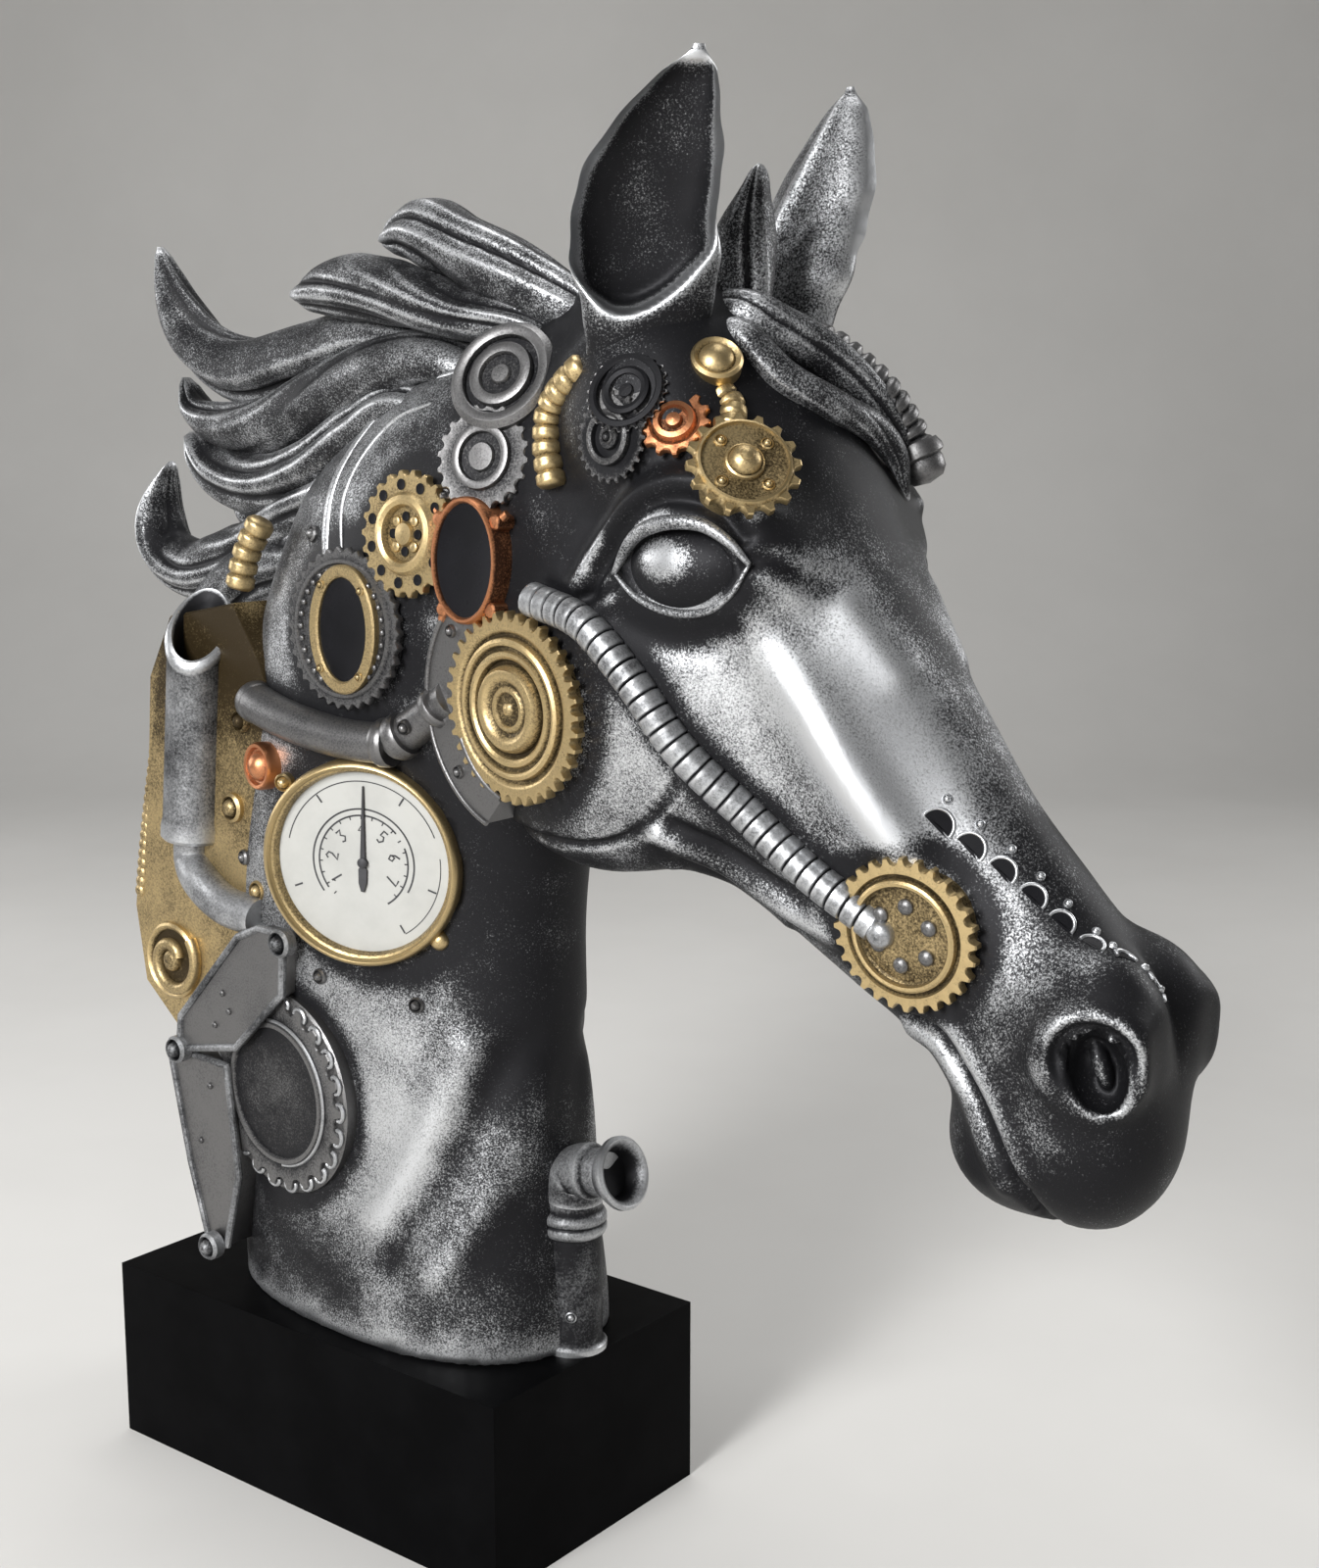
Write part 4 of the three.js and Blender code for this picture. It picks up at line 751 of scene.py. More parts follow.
def paint_group():
    """Paint rubbed over a dark ground: bright on high places, speckled between, dark in the hollows, with the
    painted shade and highlights stored with the wear.
    """
    found = bpy.data.node_groups.get("Rubbed paint")
    if found:
        return found
    tree = bpy.data.node_groups.new("Rubbed paint", "ShaderNodeTree")
    face = tree.interface
    sockets = [("Paint", "NodeSocketColor"), ("Ground", "NodeSocketColor"), ("Wear", "NodeSocketFloat"),
               ("Speckle", "NodeSocketFloat"), ("Grain", "NodeSocketFloat")]
    for name, kind in sockets:
        face.new_socket(name, in_out="INPUT", socket_type=kind)
    for name, kind in (("Color", "NodeSocketColor"), ("Metallic", "NodeSocketFloat"),
                       ("Roughness", "NodeSocketFloat"), ("Height", "NodeSocketFloat")):
        face.new_socket(name, in_out="OUTPUT", socket_type=kind)
    given = tree.nodes.new("NodeGroupInput")
    result = tree.nodes.new("NodeGroupOutput")
    place = tree.nodes.new("ShaderNodeTexCoord").outputs["Object"]
    wear_and_shade = node(tree, "ShaderNodeAttribute", attribute_name="wear_and_shade").outputs["Fac"]
    fine = node(tree, "ShaderNodeTexNoise", {"Vector": place, "Scale": given.outputs["Grain"], "Detail": 4,
                                             "Roughness": 0.75}).outputs["Fac"]
    cloud = node(tree, "ShaderNodeTexNoise", {"Vector": place, "Scale": 90, "Detail": 4,
                                              "Roughness": 0.6}).outputs["Fac"]
    specks = arithmetic(tree, "SUBTRACT", fine, 0.5)
    spots = arithmetic(tree, "MULTIPLY", specks, given.outputs["Speckle"])
    drift = arithmetic(tree, "MULTIPLY", arithmetic(tree, "SUBTRACT", cloud, 0.5), 0.6)
    total = arithmetic(tree, "ADD", arithmetic(tree, "ADD", wear_and_shade, spots), arithmetic(tree, "ADD", drift, -0.5))
    total = arithmetic(tree, "ADD", total, given.outputs["Wear"])
    mask = node(tree, "ShaderNodeMapRange", {"Value": total, "From Min": 0.22, "From Max": 0.82},
                interpolation_type="SMOOTHSTEP").outputs["Result"]
    color = mix_color(tree, mask, given.outputs["Ground"], given.outputs["Paint"])
    metal = node(tree, "ShaderNodeMapRange", {"Value": mask, "To Min": 0.45, "To Max": 1.0}).outputs["Result"]
    rough = node(tree, "ShaderNodeMapRange", {"Value": mask, "To Min": 0.5, "To Max": 0.37}).outputs["Result"]
    rough = arithmetic(tree, "ADD", rough, arithmetic(tree, "MULTIPLY", specks, 0.25))
    for name, socket in (("Color", color), ("Metallic", metal), ("Roughness", rough), ("Height", fine)):
        tree.links.new(socket, result.inputs[name])
    return tree


def mix_color(tree, factor, a, b):
    """Mixes two colours. The node's colour sockets share their names with those of other kinds."""
    made = node(tree, "ShaderNodeMix", {0: factor}, data_type="RGBA")
    for socket in made.inputs:
        if socket.type == "RGBA":
            tree.links.new({"A": a, "B": b}[socket.name], socket)
    return next(s for s in made.outputs if s.type == "RGBA")


def paint(name, color, ground, wear=0.5, speckle=1.0, grain=900, bump=0.12):
    """A material of rubbed metal paint."""
    found = bpy.data.materials.get(name)
    if found:
        return found
    made = bpy.data.materials.new(name)
    made.use_nodes = True
    tree = made.node_tree
    shader = tree.nodes["Principled BSDF"]
    group = node(tree, "ShaderNodeGroup", node_tree=paint_group())
    group.inputs["Paint"].default_value = (*color, 1)
    group.inputs["Ground"].default_value = (*ground, 1)
    group.inputs["Wear"].default_value = wear
    group.inputs["Speckle"].default_value = speckle
    group.inputs["Grain"].default_value = grain
    relief_node = node(tree, "ShaderNodeBump", {"Height": group.outputs["Height"], "Strength": bump,
                                                "Distance": 0.0006})
    shader.inputs["Specular IOR Level"].default_value = 0.2
    tree.links.new(group.outputs["Color"], shader.inputs["Base Color"])
    tree.links.new(group.outputs["Metallic"], shader.inputs["Metallic"])
    tree.links.new(group.outputs["Roughness"], shader.inputs["Roughness"])
    tree.links.new(relief_node.outputs["Normal"], shader.inputs["Normal"])
    return made


def matte(name, color, second, rough, scale=60, grain=0.02, shine=0.5):
    """A plain painted surface whose tone and gloss drift a little."""
    found = bpy.data.materials.get(name)
    if found:
        return found
    made = bpy.data.materials.new(name)
    made.use_nodes = True
    tree = made.node_tree
    shader = tree.nodes["Principled BSDF"]
    shader.inputs["Specular IOR Level"].default_value = shine
    place = tree.nodes.new("ShaderNodeTexCoord").outputs["Object"]
    cloud = node(tree, "ShaderNodeTexNoise", {"Vector": place, "Scale": scale, "Detail": 5,
                                              "Roughness": 0.65}).outputs["Fac"]
    ramp = node(tree, "ShaderNodeValToRGB", {"Fac": cloud})
    ramp.color_ramp.elements[0].color = (*second, 1)
    ramp.color_ramp.elements[0].position = 0.3
    ramp.color_ramp.elements[1].color = (*color, 1)
    ramp.color_ramp.elements[1].position = 0.6
    tree.links.new(ramp.outputs["Color"], shader.inputs["Base Color"])
    gloss = node(tree, "ShaderNodeMapRange", {"Value": cloud, "From Min": 0.3, "From Max": 0.7,
                                              "To Min": rough - 0.06, "To Max": rough + 0.06})
    tree.links.new(gloss.outputs["Result"], shader.inputs["Roughness"])
    lift = node(tree, "ShaderNodeBump", {"Height": cloud, "Strength": grain, "Distance": 0.001})
    tree.links.new(lift.outputs["Normal"], shader.inputs["Normal"])
    return made


# Sizes and colours that a user may change.


def color_prop(name, value):
    return bpy.props.FloatVectorProperty(name=name, description=f"{name} colour", subtype="COLOR", size=3,
                                         min=0, max=1, default=value)


def length_prop(name, value):
    return bpy.props.FloatProperty(name=name, description=f"{name}, in metres", subtype="DISTANCE",
                                   unit="LENGTH", default=value, min=0)


class HorseColors(bpy.types.PropertyGroup):
    """Colours of the paints."""

    silver: color_prop("Silver", (0.63, 0.64, 0.655))
    steel: color_prop("Steel", (0.2, 0.197, 0.197))
    gold: color_prop("Gold", (0.56, 0.425, 0.22))
    copper: color_prop("Copper", (0.58, 0.25, 0.12))
    ground: color_prop("Ground", (0.011, 0.011, 0.0125))
    dial: color_prop("Dial", (0.4, 0.4, 0.38))
    block: color_prop("Block", (0.0016, 0.0016, 0.0018))


class HorseSizes(bpy.types.PropertyGroup):
    """Sizes of the ornaments."""

    cheek_cog: length_prop("Cheek cog radius", 0.019)
    nose_cog: length_prop("Nose cog radius", 0.0144)
    brow_cog: length_prop("Brow cog radius", 0.0104)
    neck_wheel: length_prop("Neck wheel radius", 0.0225)
    cheek_hose: length_prop("Cheek hose radius", 0.0034)
    hose_bands: bpy.props.IntProperty(name="Cheek hose bands", description="Bands on the cheek hose",
                                      default=28, min=4)
    wear: bpy.props.FloatProperty(name="Wear", description="How far the paint is rubbed bright", default=0.5,
                                  min=0, max=1)


def colors():
    return bpy.context.scene.horse_colors


def sizes():
    return bpy.context.scene.horse_sizes


def silver():
    return paint("Aged silver", colors().silver, colors().ground, sizes().wear, 1.6, 2500)


def smooth_silver():
    color = [0.9 * c for c in colors().silver]
    return paint("Smooth silver", color, colors().ground, sizes().wear, 0.55, 1800, 0.05)


def steel():
    return paint("Dark steel", colors().steel, colors().ground, sizes().wear + 0.02, 1.2, 2300)


def gold():
    return paint("Aged gold", colors().gold, (0.03, 0.02, 0.008), sizes().wear + 0.06, 1.1, 2200)


def copper():
    return paint("Aged copper", colors().copper, (0.03, 0.012, 0.006), sizes().wear + 0.06, 1.1, 2200)


# Black for the painted window and hole floors, and for the painted shade deep in the exhaust's bore.
def black():
    return matte("Black paint and bore shade", (0.006, 0.006, 0.007), (0.012, 0.012, 0.014), 0.28, shine=0.15)


SILVER_SLOT, GOLD_SLOT, COPPER_SLOT = "aged_silver", "aged_gold", "aged_copper"
DIAL_SLOT, BLOCK_SLOT = "dial_white", "block_black"


class HORSE_OT_skin(bpy.types.Operator):
    """Head and neck of the cast bust"""

    bl_idname = "horse.skin"
    bl_label = "Head and neck"
    bl_options = {"REGISTER", "UNDO"}

    def execute(self, context):
        piece = add("horse_skin", skin_mesh(), silver(), SILVER_SLOT, base=0.37, gain=1.8, wide_gain=3.0,
                    sharp=0, shade=skin_shade)
        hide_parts("horse_bust")
        return {"FINISHED"}


# Ears: middle, half width and depth by height, and how far an ear leans and where it faces on each side.
EAR_FOOT, EAR_TOP = 246, 307.6
EAR_LEVELS = 72
EAR_X = curve([(EAR_FOOT, 91), (264, 93.5), (280, 96.5), (295, 100), (EAR_TOP, 102.5)])
EAR_Y = curve([(EAR_FOOT, 17.5), (264, 22.5), (280, 26), (295, 28.5), (EAR_TOP, 29.6)])
EAR_HALF = curve([(EAR_FOOT, 14), (254, 12), (262, 12), (273, 13.4), (284, 12.8), (295, 9.4), (303, 5),
                  (EAR_TOP, 1)])
EAR_DEEP = curve([(EAR_FOOT, 11), (254, 9.4), (262, 9), (273, 9), (284, 7.8), (296, 5.4), (304, 3),
                  (EAR_TOP, 0.8)])
NEAR_LEAN = curve([(EAR_FOOT, 0), (270, -0.6), (280, -1), (293, 1.4), (301, 3.8), (EAR_TOP, 6)])
LEAN_WAY = np.array([0.79, 0.62, 0])
EAR_FACING = {SEEN: (0.64, -0.77, 0), FAR: (0.2, 0.98, 0)}


def cup_depth(c, z, side):
    """How far the cup is open at a place across the ear: its foot is a slanted curve and its tip closes."""
    across = c * -side + 0.4
    foot = 263.4 + across**2 * np.where(across < 0, 16, 6.6)
    return smooth_step(foot - 1.8, foot + 2.4, z) * smooth_step(EAR_TOP - 0.5, 302.5, z)


def ear(side):
    """An ear as a leaf of crescent section: a round back, bright rims and a deep cup with a slanted foot."""
    facing = np.array(EAR_FACING[side])
    across = np.cross((0, 0, 1), facing)
    turn = np.linspace(0, 2 * np.pi, 64, endpoint=False)
    c, s = np.cos(turn), np.sin(turn)
    rings = []
    for z in np.linspace(EAR_FOOT, EAR_TOP, EAR_LEVELS):
        cup = cup_depth(c, z, side)
        rim = 1 - np.abs(c) ** 6
        front = 0.6 * s * (1 - cup) - 0.78 * cup * rim * np.abs(s) ** 0.7 + 0.2 * cup * np.abs(c) ** 8
        crest = 0.35 - 0.3 * smooth_step(262, 300, z) + 0.4 * smooth_step(272, 250, z)
        ridge = 0.22 * np.exp(-(((c - crest) / 0.16) ** 2)) * (side == FAR)
        depth = np.where(s < 0, s * (1 + ridge), front)
        wavy = 1 + 0.02 * np.sin(z * 0.33) + 0.015 * np.sin(z * 0.71 + 2 * c)
        lean = LEAN_WAY * NEAR_LEAN(z) * (side == SEEN)
        middle = np.array([EAR_X(z), side * EAR_Y(z), z]) + lean
        wide, deep = EAR_HALF(z) * wavy * c, EAR_DEEP(z) * depth
        rings.append(middle + across * wide[:, None] + facing * deep[:, None])
    return rows_to_mesh(np.array(rings))


def ear_shade(co, normal):
    """Painted shade inside the cups and on their backs, bright wear on their rims, and darker towards the
    feet.
    """
    wear_and_shade = np.zeros(len(co))
    for side in BOTH:
        facing = np.array(EAR_FACING[side])
        z = co[:, 2]
        lean = LEAN_WAY * NEAR_LEAN(z)[:, None] * (side == SEEN)
        middle = np.column_stack([EAR_X(z), side * EAR_Y(z), z]) + lean
        c = (co - middle) @ np.cross((0, 0, 1), facing) / EAR_HALF(z)
        cup = cup_depth(c, z, side)
        rim = smooth_step(0.8, 0.93, np.abs(c)) * (cup > 0.3)
        rim = rim + smooth_step(0.0, 0.15, cup) * smooth_step(0.6, 0.3, cup)
        inward = smooth_step(0.1, 0.7, normal @ facing)
        bright = 0.45 * np.minimum(rim, 1) * smooth_step(-0.35, 0.05, normal @ facing)
        own = -0.3 * inward * (1 - rim) + bright
        back = smooth_step(0.1, 0.8, -(normal @ facing))
        own = own - 0.12 * back - 0.2 * smooth_step(270, 250, z)
        wear_and_shade = np.where(np.sign(co[:, 1]) == side, own, wear_and_shade)
    return wear_and_shade


class HORSE_OT_ears(bpy.types.Operator):
    """Both ears"""

    bl_idname = "horse.ears"
    bl_label = "Ears"
    bl_options = {"REGISTER", "UNDO"}

    def execute(self, context):
        body = joined([ear(side) for side in BOTH])
        add("ears", body, silver(), SILVER_SLOT, base=0.48, gain=1.6, wide_gain=1.6, sharp=70,
            shade=ear_shade)
        return {"FINISHED"}


def eye(side):
    """Eyeball and lids of one side."""
    lat, lon = np.linspace(0.02, np.pi - 0.02, 28), np.linspace(0, 2 * np.pi, 44, endpoint=False)
    ball = np.stack([np.outer(np.sin(lat), np.cos(lon)), np.outer(np.cos(lat), np.ones(44)),
                     np.outer(np.sin(lat), np.sin(lon))], -1)
    centre = np.array([EYE_AT[0], side * EYE_AT[1], EYE_AT[2]])
    parts = [rows_to_mesh(ball * np.array(EYE_RADII) + centre)]
    for path, half, height, lift in ((UPPER_LID, 1.4, 1.6, 0.3), (LOWER_LID, 0.8, 1.0, 0.0)):
        points, normals = skin_path(path, 40, side, lift)
        x, z = (points[:, 0] - EYE_AT[0]) / EYE_RADII[0], (points[:, 2] - EYE_AT[2]) / EYE_RADII[2]
        flat = 1 - x ** 2 - z ** 2
        reach = EYE_AT[1] + EYE_RADII[1] * np.sqrt(np.maximum(flat, 0)) - 0.2
        points[:, 1] = side * np.maximum(np.abs(points[:, 1]), reach)
        fade = np.sin(np.pi * np.linspace(0.05, 0.95, 40)) ** 0.6
        parts.append(tube(points, half * fade, height * fade, 14, normals))
    return joined(parts)


def eye_shade(co, normal):
    """A painted highlight in the middle of the ball, painted shade where it meets the lids, and the lids a
    little darker.
    """
    x, z = (co[:, 0] - EYE_AT[0]) / EYE_RADII[0], (co[:, 2] - EYE_AT[2]) / EYE_RADII[2]
    ball = np.abs(np.hypot(np.hypot(x, z), (np.abs(co[:, 1]) - EYE_AT[1]) / EYE_RADII[1]) - 1) < 0.01
    far = np.hypot(x + 0.1, z - 0.15)
    return np.where(ball, 0.25 - 0.95 * smooth_step(0.05, 0.75, far), -0.12)


class HORSE_OT_eyes(bpy.types.Operator):
    """Eyeballs and lids"""

    bl_idname = "horse.eyes"
    bl_label = "Eyes"
    bl_options = {"REGISTER", "UNDO"}

    def execute(self, context):
        add("eyes", joined([eye(side) for side in BOTH]), silver(), SILVER_SLOT, base=0.5, gain=0.8, sharp=0,
            shade=eye_shade)
        return {"FINISHED"}


# Locks of hair: middle line in x, y, z, half widths seen from the side, half thickness, number of ridges.
LOCKS = [
    ([(80, -1, 250), (66, -3, 261), (50, -5, 270), (34, -5, 277), (20, -4, 282), (7, -3, 281)],
     (3, 5, 7, 8, 8, 3), 9, 4),
    ([(72, -2, 248), (56, -6, 261), (34, -8, 265), (14, -7, 270), (-3, -6, 272), (-19, -4, 271)],
     (3, 4, 5, 7, 7, 4), 9, 4),
    ([(48, 0, 244), (32, 0, 256), (4, 1, 262), (-22, 3, 258), (-45, 4, 255), (-61, 4, 260), (-71, 4, 270),
      (-78, 4, 285)],
     (3, 6, 8, 8.5, 8.5, 7.5, 5.2, 1.2), 9, 4),
    ([(48, -2, 242), (32, -6, 254), (12, -5, 255), (-12, -2, 249), (-32, 0, 243), (-50, 2, 242),
      (-64, 3, 246), (-69, 3, 254)],
     (3, 5, 7, 7.5, 7.5, 7, 5.5, 1.6), 9, 4),
    ([(38, -3, 232), (20, -7, 246), (2, -5, 241), (-16, -3, 233), (-36, 0, 229), (-54, 2, 232),
      (-66, 3, 241)],
     (3, 5, 7, 7.5, 7.5, 7, 4), 9, 4),
    ([(-8, -4, 228), (-28, 1, 222), (-48, 4, 213), (-66, 4, 208), (-79, 4, 212), (-82, 4, 222),
      (-77, 4, 234)],
     (7, 7.5, 7.5, 8, 7, 5, 0.8), 9, 4),
    ([(-20, 0, 214), (-44, 2, 208), (-60, 2, 196), (-66, 1, 182), (-60, 0, 168)], (9, 9, 8, 6.5, 1.6), 9, 4),
    ([(62, 8, 258), (36, 12, 268), (14, 13, 272), (-8, 13, 268)], (5, 7, 7, 3), 7, 3),
    ([(36, 10, 252), (2, 14, 250), (-28, 14, 240), (-50, 13, 240), (-62, 12, 250)], (7, 9, 9, 7, 2), 8, 3),
    ([(8, 12, 240), (-18, 14, 226), (-44, 13, 218), (-62, 12, 224)], (8, 9, 8, 3), 8, 3),
    ([(-14, 10, 220), (-34, 12, 206), (-48, 12, 190), (-50, 11, 172)], (7, 8, 7, 2), 7, 3),
    ([(90, -2, 252), (97, -1, 266), (99, 0, 278), (101.5, 1, 290.5)], (9, 8, 6.4, 1.4), 6.5, 3),
    ([(97, -8, 259), (105.6, -10.8, 258.4), (113.2, -7.6, 250.8), (118.6, -0.8, 246.6), (121.6, 9, 242.4),
      (123.6, 15, 236.5), (125, 17.6, 228.5)], (2, 3.4, 3.6, 3.6, 3.2, 2.4, 0.4), 3.6, 2),
    ([(90, -4, 262), (102.6, -6.4, 263.4), (108.6, -2, 260), (113.6, 6, 255), (117.6, 12.5, 249),
      (121, 18.4, 241), (123.6, 20.4, 232)], (3, 4, 4.4, 4.4, 4, 3, 0.5), 4, 2),
]


def strands(t, turn, ridges, phase):
    """Radius factor of a lock: broad ridges of uneven depth with fine ones between them."""
    flow = turn + 1.1 * np.sin(2.4 * t + phase) + 0.45 * np.sin(2 * turn + 3 * t + phase)
    broad = 1 - np.abs(np.sin(ridges / 2 * flow)) ** 0.7
    uneven = 0.75 + 0.25 * np.sin(turn + 5 * t + 2 * phase)
    fine = np.abs(np.sin(ridges * 1.5 * flow + 1.5 * np.sin(3 * t + phase)))
    return 1.04 - 0.27 * broad * uneven - 0.03 * fine


def lock(path, wide, deep, ridges, phase):
    """A leaf-shaped lock with sharp ridges that run along it and wander a little."""
    count = 56
    points = smooth_path(path, count)
    share = curve([(i / (len(wide) - 1), w) for i, w in enumerate(wide)])
    t = np.linspace(0, 1, count)
    half = share(t) * np.sqrt(np.clip((1.0005 - t) / 0.06, 0, 1))
    thick = deep * np.sqrt(half / max(wide))
    ahead = unit(np.gradient(points, axis=0))
    up = unit(np.cross((0.0, 1.0, 0.0), ahead))
    out = np.cross(ahead, up)
    turn = 2 * np.pi * np.arange(80) / 80
    size = strands(t[:, None], turn, ridges, phase)
    c = (half[:, None] * np.cos(turn) * size)[..., None]
    s = (thick[:, None] * np.sin(turn) * size)[..., None]
    return rows_to_mesh(points[:, None] + up[:, None] * c + out[:, None] * s)


class HORSE_OT_mane(bpy.types.Operator):
    """Flying mane and forelock"""

    bl_idname = "horse.mane"
    bl_label = "Mane"
    bl_options = {"REGISTER", "UNDO"}

    def execute(self, context):
        locks = [lock(*row, phase=1.7 * i) for i, row in enumerate(LOCKS)]
        add("mane", joined(locks), silver(), SILVER_SLOT, base=0.2, gain=2.6, wide_gain=1.9, sharp=0)
        return {"FINISHED"}


def cog_body(radius, teeth, tooth, rise, rings, per_tooth=8, root=5.0):
    """A toothed cog: its wall, rim, rings and boss, as (share of radius, height over the rim) pairs."""
    sides = teeth * per_tooth
    inner = radius - tooth
    profile = [(inner - 0.5, -root), (inner - 0.5, 0.3), (radius, 0.4, True), (radius, rise - 0.3, True),
               (radius - 0.25, rise, True)]
    profile += [(share * radius, rise + height) for share, height in rings]
    return turned(profile, sides, teeth, tooth)


CHEEK_RINGS = [(0.83, 0.1), (0.8, -0.1), (0.77, -0.8), (0.745, -0.8), (0.725, 0.4), (0.69, 0.75), (0.66, 0.6),
               (0.64, -0.1), (0.61, -0.1), (0.59, 0.5), (0.55, 0.6), (0.52, 0.2), (0.5, -0.9), (0.465, -0.9),
               (0.445, 0.6), (0.41, 1.35), (0.36, 1.55), (0.31, 1.2), (0.28, 0.5), (0.25, 0.3), (0.22, 0.7),
               (0.185, 0.7), (0.165, 0.2), (0.08, 0.25), (0.05, 0.8), (0.005, 1.0)]
NOSE_RINGS = [(0.8, 0.1), (0.77, -0.7), (0.74, -0.7), (0.72, 0.5), (0.69, 0.8), (0.65, 0.7), (0.63, -0.3),
              (0.6, -0.6), (0.3, -0.4), (0.005, -0.3)]
BROW_RINGS = [(0.84, 0), (0.81, 0.7), (0.77, 0.8), (0.74, 0), (0.36, -0.2), (0.34, 0.6), (0.31, 0.8),
              (0.29, 0.6), (0.27, 1.4), (0.2, 2.3), (0.12, 2.7), (0.1, 3.1), (0.005, 3.4)]
COPPER_RINGS = [(0.72, 0.1), (0.62, -0.4), (0.56, 0.9), (0.42, 1.1), (0.36, 0), (0.24, 0), (0.2, 1.0),
                (0.005, 1.3)]
PORT_RINGS = [(0.86, 0), (0.84, 0.5), (0.8, 0.5), (0.78, 0), (0.3, 0), (0.005, 0)]
WHEEL_RINGS = [(0.8, 0), (0.74, -0.2), (0.72, 0.7), (0.68, 0.7), (0.66, -0.1), (0.3, -0.2), (0.005, -0.2)]
PIERCED_RINGS = [(0.66, 0), (0.6, 1.0), (0.52, 1.3), (0.46, 0.9), (0.42, -0.5), (0.2, -0.3), (0.17, 0.6),
                 (0.005, 0.9)]
DARK_RINGS = [(0.78, -0.1), (0.62, -0.1), (0.6, 1.0), (0.52, 1.2), (0.46, 1.0), (0.44, 0), (0.28, -0.1),
              (0.25, 0.6), (0.005, 0.7)]
EAR_RINGS = [(0.9, 0.8), (0.78, 0.9), (0.73, 0.6), (0.71, -0.6), (0.6, -0.6), (0.58, 0.8), (0.5, 1.1),
             (0.4, 0.9), (0.37, 0), (0.2, 0), (0.16, 0.7), (0.005, 0.8)]


def ring_of(body, count, radius, pose, start=0.0):
    """Copies of a body on a circle in a frame."""
    turns = start + 2 * np.pi * np.arange(count) / count
    return [placed(body, shifted(pose, radius * math.cos(a), radius * math.sin(a))) for a in turns]


def hole(radius):
    """The dark floor of a small round hole."""
    return turned([(radius, -0.6), (radius, 0.15), (radius * 0.7, 0.12), (0.02, 0.09)], 14)


class HORSE_OT_cogs(bpy.types.Operator):
    """Gold, copper and steel cogs"""

    bl_idname = "horse.cogs"
    bl_label = "Cogs"
    bl_options = {"REGISTER", "UNDO"}

    def execute(self, context):
        cheek, nose, brow = sizes().cheek_cog / MM, sizes().nose_cog / MM, sizes().brow_cog / MM
        for side, name in ((SEEN, ""), (FAR, "_far")):
            body = placed(cog_body(cheek, 36, 1.7, 2.6, CHEEK_RINGS), seat(*CHEEK_PLACE, side))
            add("cheek_cog" + name, body, gold(), GOLD_SLOT, base=0.46, gain=1.3)
            pose = seat(*NOSE_PLACE, side, 0.6)
            body = placed(cog_body(nose, 28, 1.3, 2.4, NOSE_RINGS), pose)
            add("nose_cog" + name, body, gold(), GOLD_SLOT, base=0.46, gain=1.3)
            stud = turned([(1.5, 1), (1.5, 2.5), (1.1, 3.0), (0.5, 3.2), (0.02, 3.2)], 14)
            studs = ring_of(stud, 6, 5.6, pose, 0.4)
            add("nose_studs" + name, joined(studs), steel(), SILVER_SLOT, base=0.5, gain=0.9)
        pose = seat(*BROW_COG_PLACE, SEEN, 0.9)
        parts = [placed(cog_body(brow, 16, 1.5, 2.2, BROW_RINGS), pose)]
        parts += ring_of(placed(rivet(1.2), shifted(np.eye(4), z=1.9)), 4, 5.9, pose, 0.7)
        add("brow_cog", joined(parts), gold(), GOLD_SLOT, base=0.55)
        body = placed(cog_body(6.6, 13, 1, 1.8, COPPER_RINGS), seat(*COPPER_COG_PLACE))
        add("copper_cog", body, copper(), COPPER_SLOT)
        pose = seat(*PIERCED_COG_PLACE)
        parts = [placed(cog_body(12.8, 22, 1.2, 2.2, PIERCED_RINGS), pose)]
        parts += ring_of(placed(button(1.1, -1, 0.5, 12), shifted(np.eye(4), z=2.0)), 4, 3.6, pose, 0.8)
        add("pierced_cog", joined(parts), gold(), GOLD_SLOT)
        holes = ring_of(hole(1.15), 11, 9.9, shifted(pose, z=2.2))
        holes += ring_of(hole(1.0), 4, 3.5, shifted(pose, z=2.0))
        add("cog_holes", joined(holes), black(), SILVER_SLOT)
        parts = [placed(cog_body(10.6, 20, 1, 2, DARK_RINGS), seat(*STEEL_COG_PLACE, SEEN, 0.6, 0.25)),
                 placed(cog_body(11.4, 60, 0.01, 2, EAR_RINGS, 2), seat(57.5, 251, SEEN, 0.8, 0.35)),
                 placed(rivet(1.7, 1.4), seat(45.5, 228.5)), placed(rivet(1.4, 1.2), seat(62.5, 229.5))]
        add("steel_cogs", joined(parts), steel(), SILVER_SLOT, base=0.5, gain=1.2)
        dome = turned([(4.8, -2), (4.8, 0.6), (4.3, 1.2), (3.7, 0.9), (3.3, 0.5), (2.9, 1.2), (1.7, 2.0),
                       (0.02, 2.3)], 36)
        add("brow_dome", placed(dome, seat_raised((104.4, -17.6, 251.2), 0.4)), gold(), GOLD_SLOT, base=0.55)
        front = (92.4, -29.9, 240.2)
        parts = [placed(cog_body(8.4, 24, 0.8, 0.8, DARK_RINGS), seat_raised(front, -0.4)),
                 placed(cog_body(8, 28, 0.7, 0.4, EAR_RINGS), seat_raised((94.3, -27.7, 247.0), -0.5)),
                 placed(rivet(1.3, 1.0), seat_raised(front, 0.7))]
        add("brow_steel_cogs", joined(parts), steel(), SILVER_SLOT, base=0.22, gain=1.4)
        return {"FINISHED"}


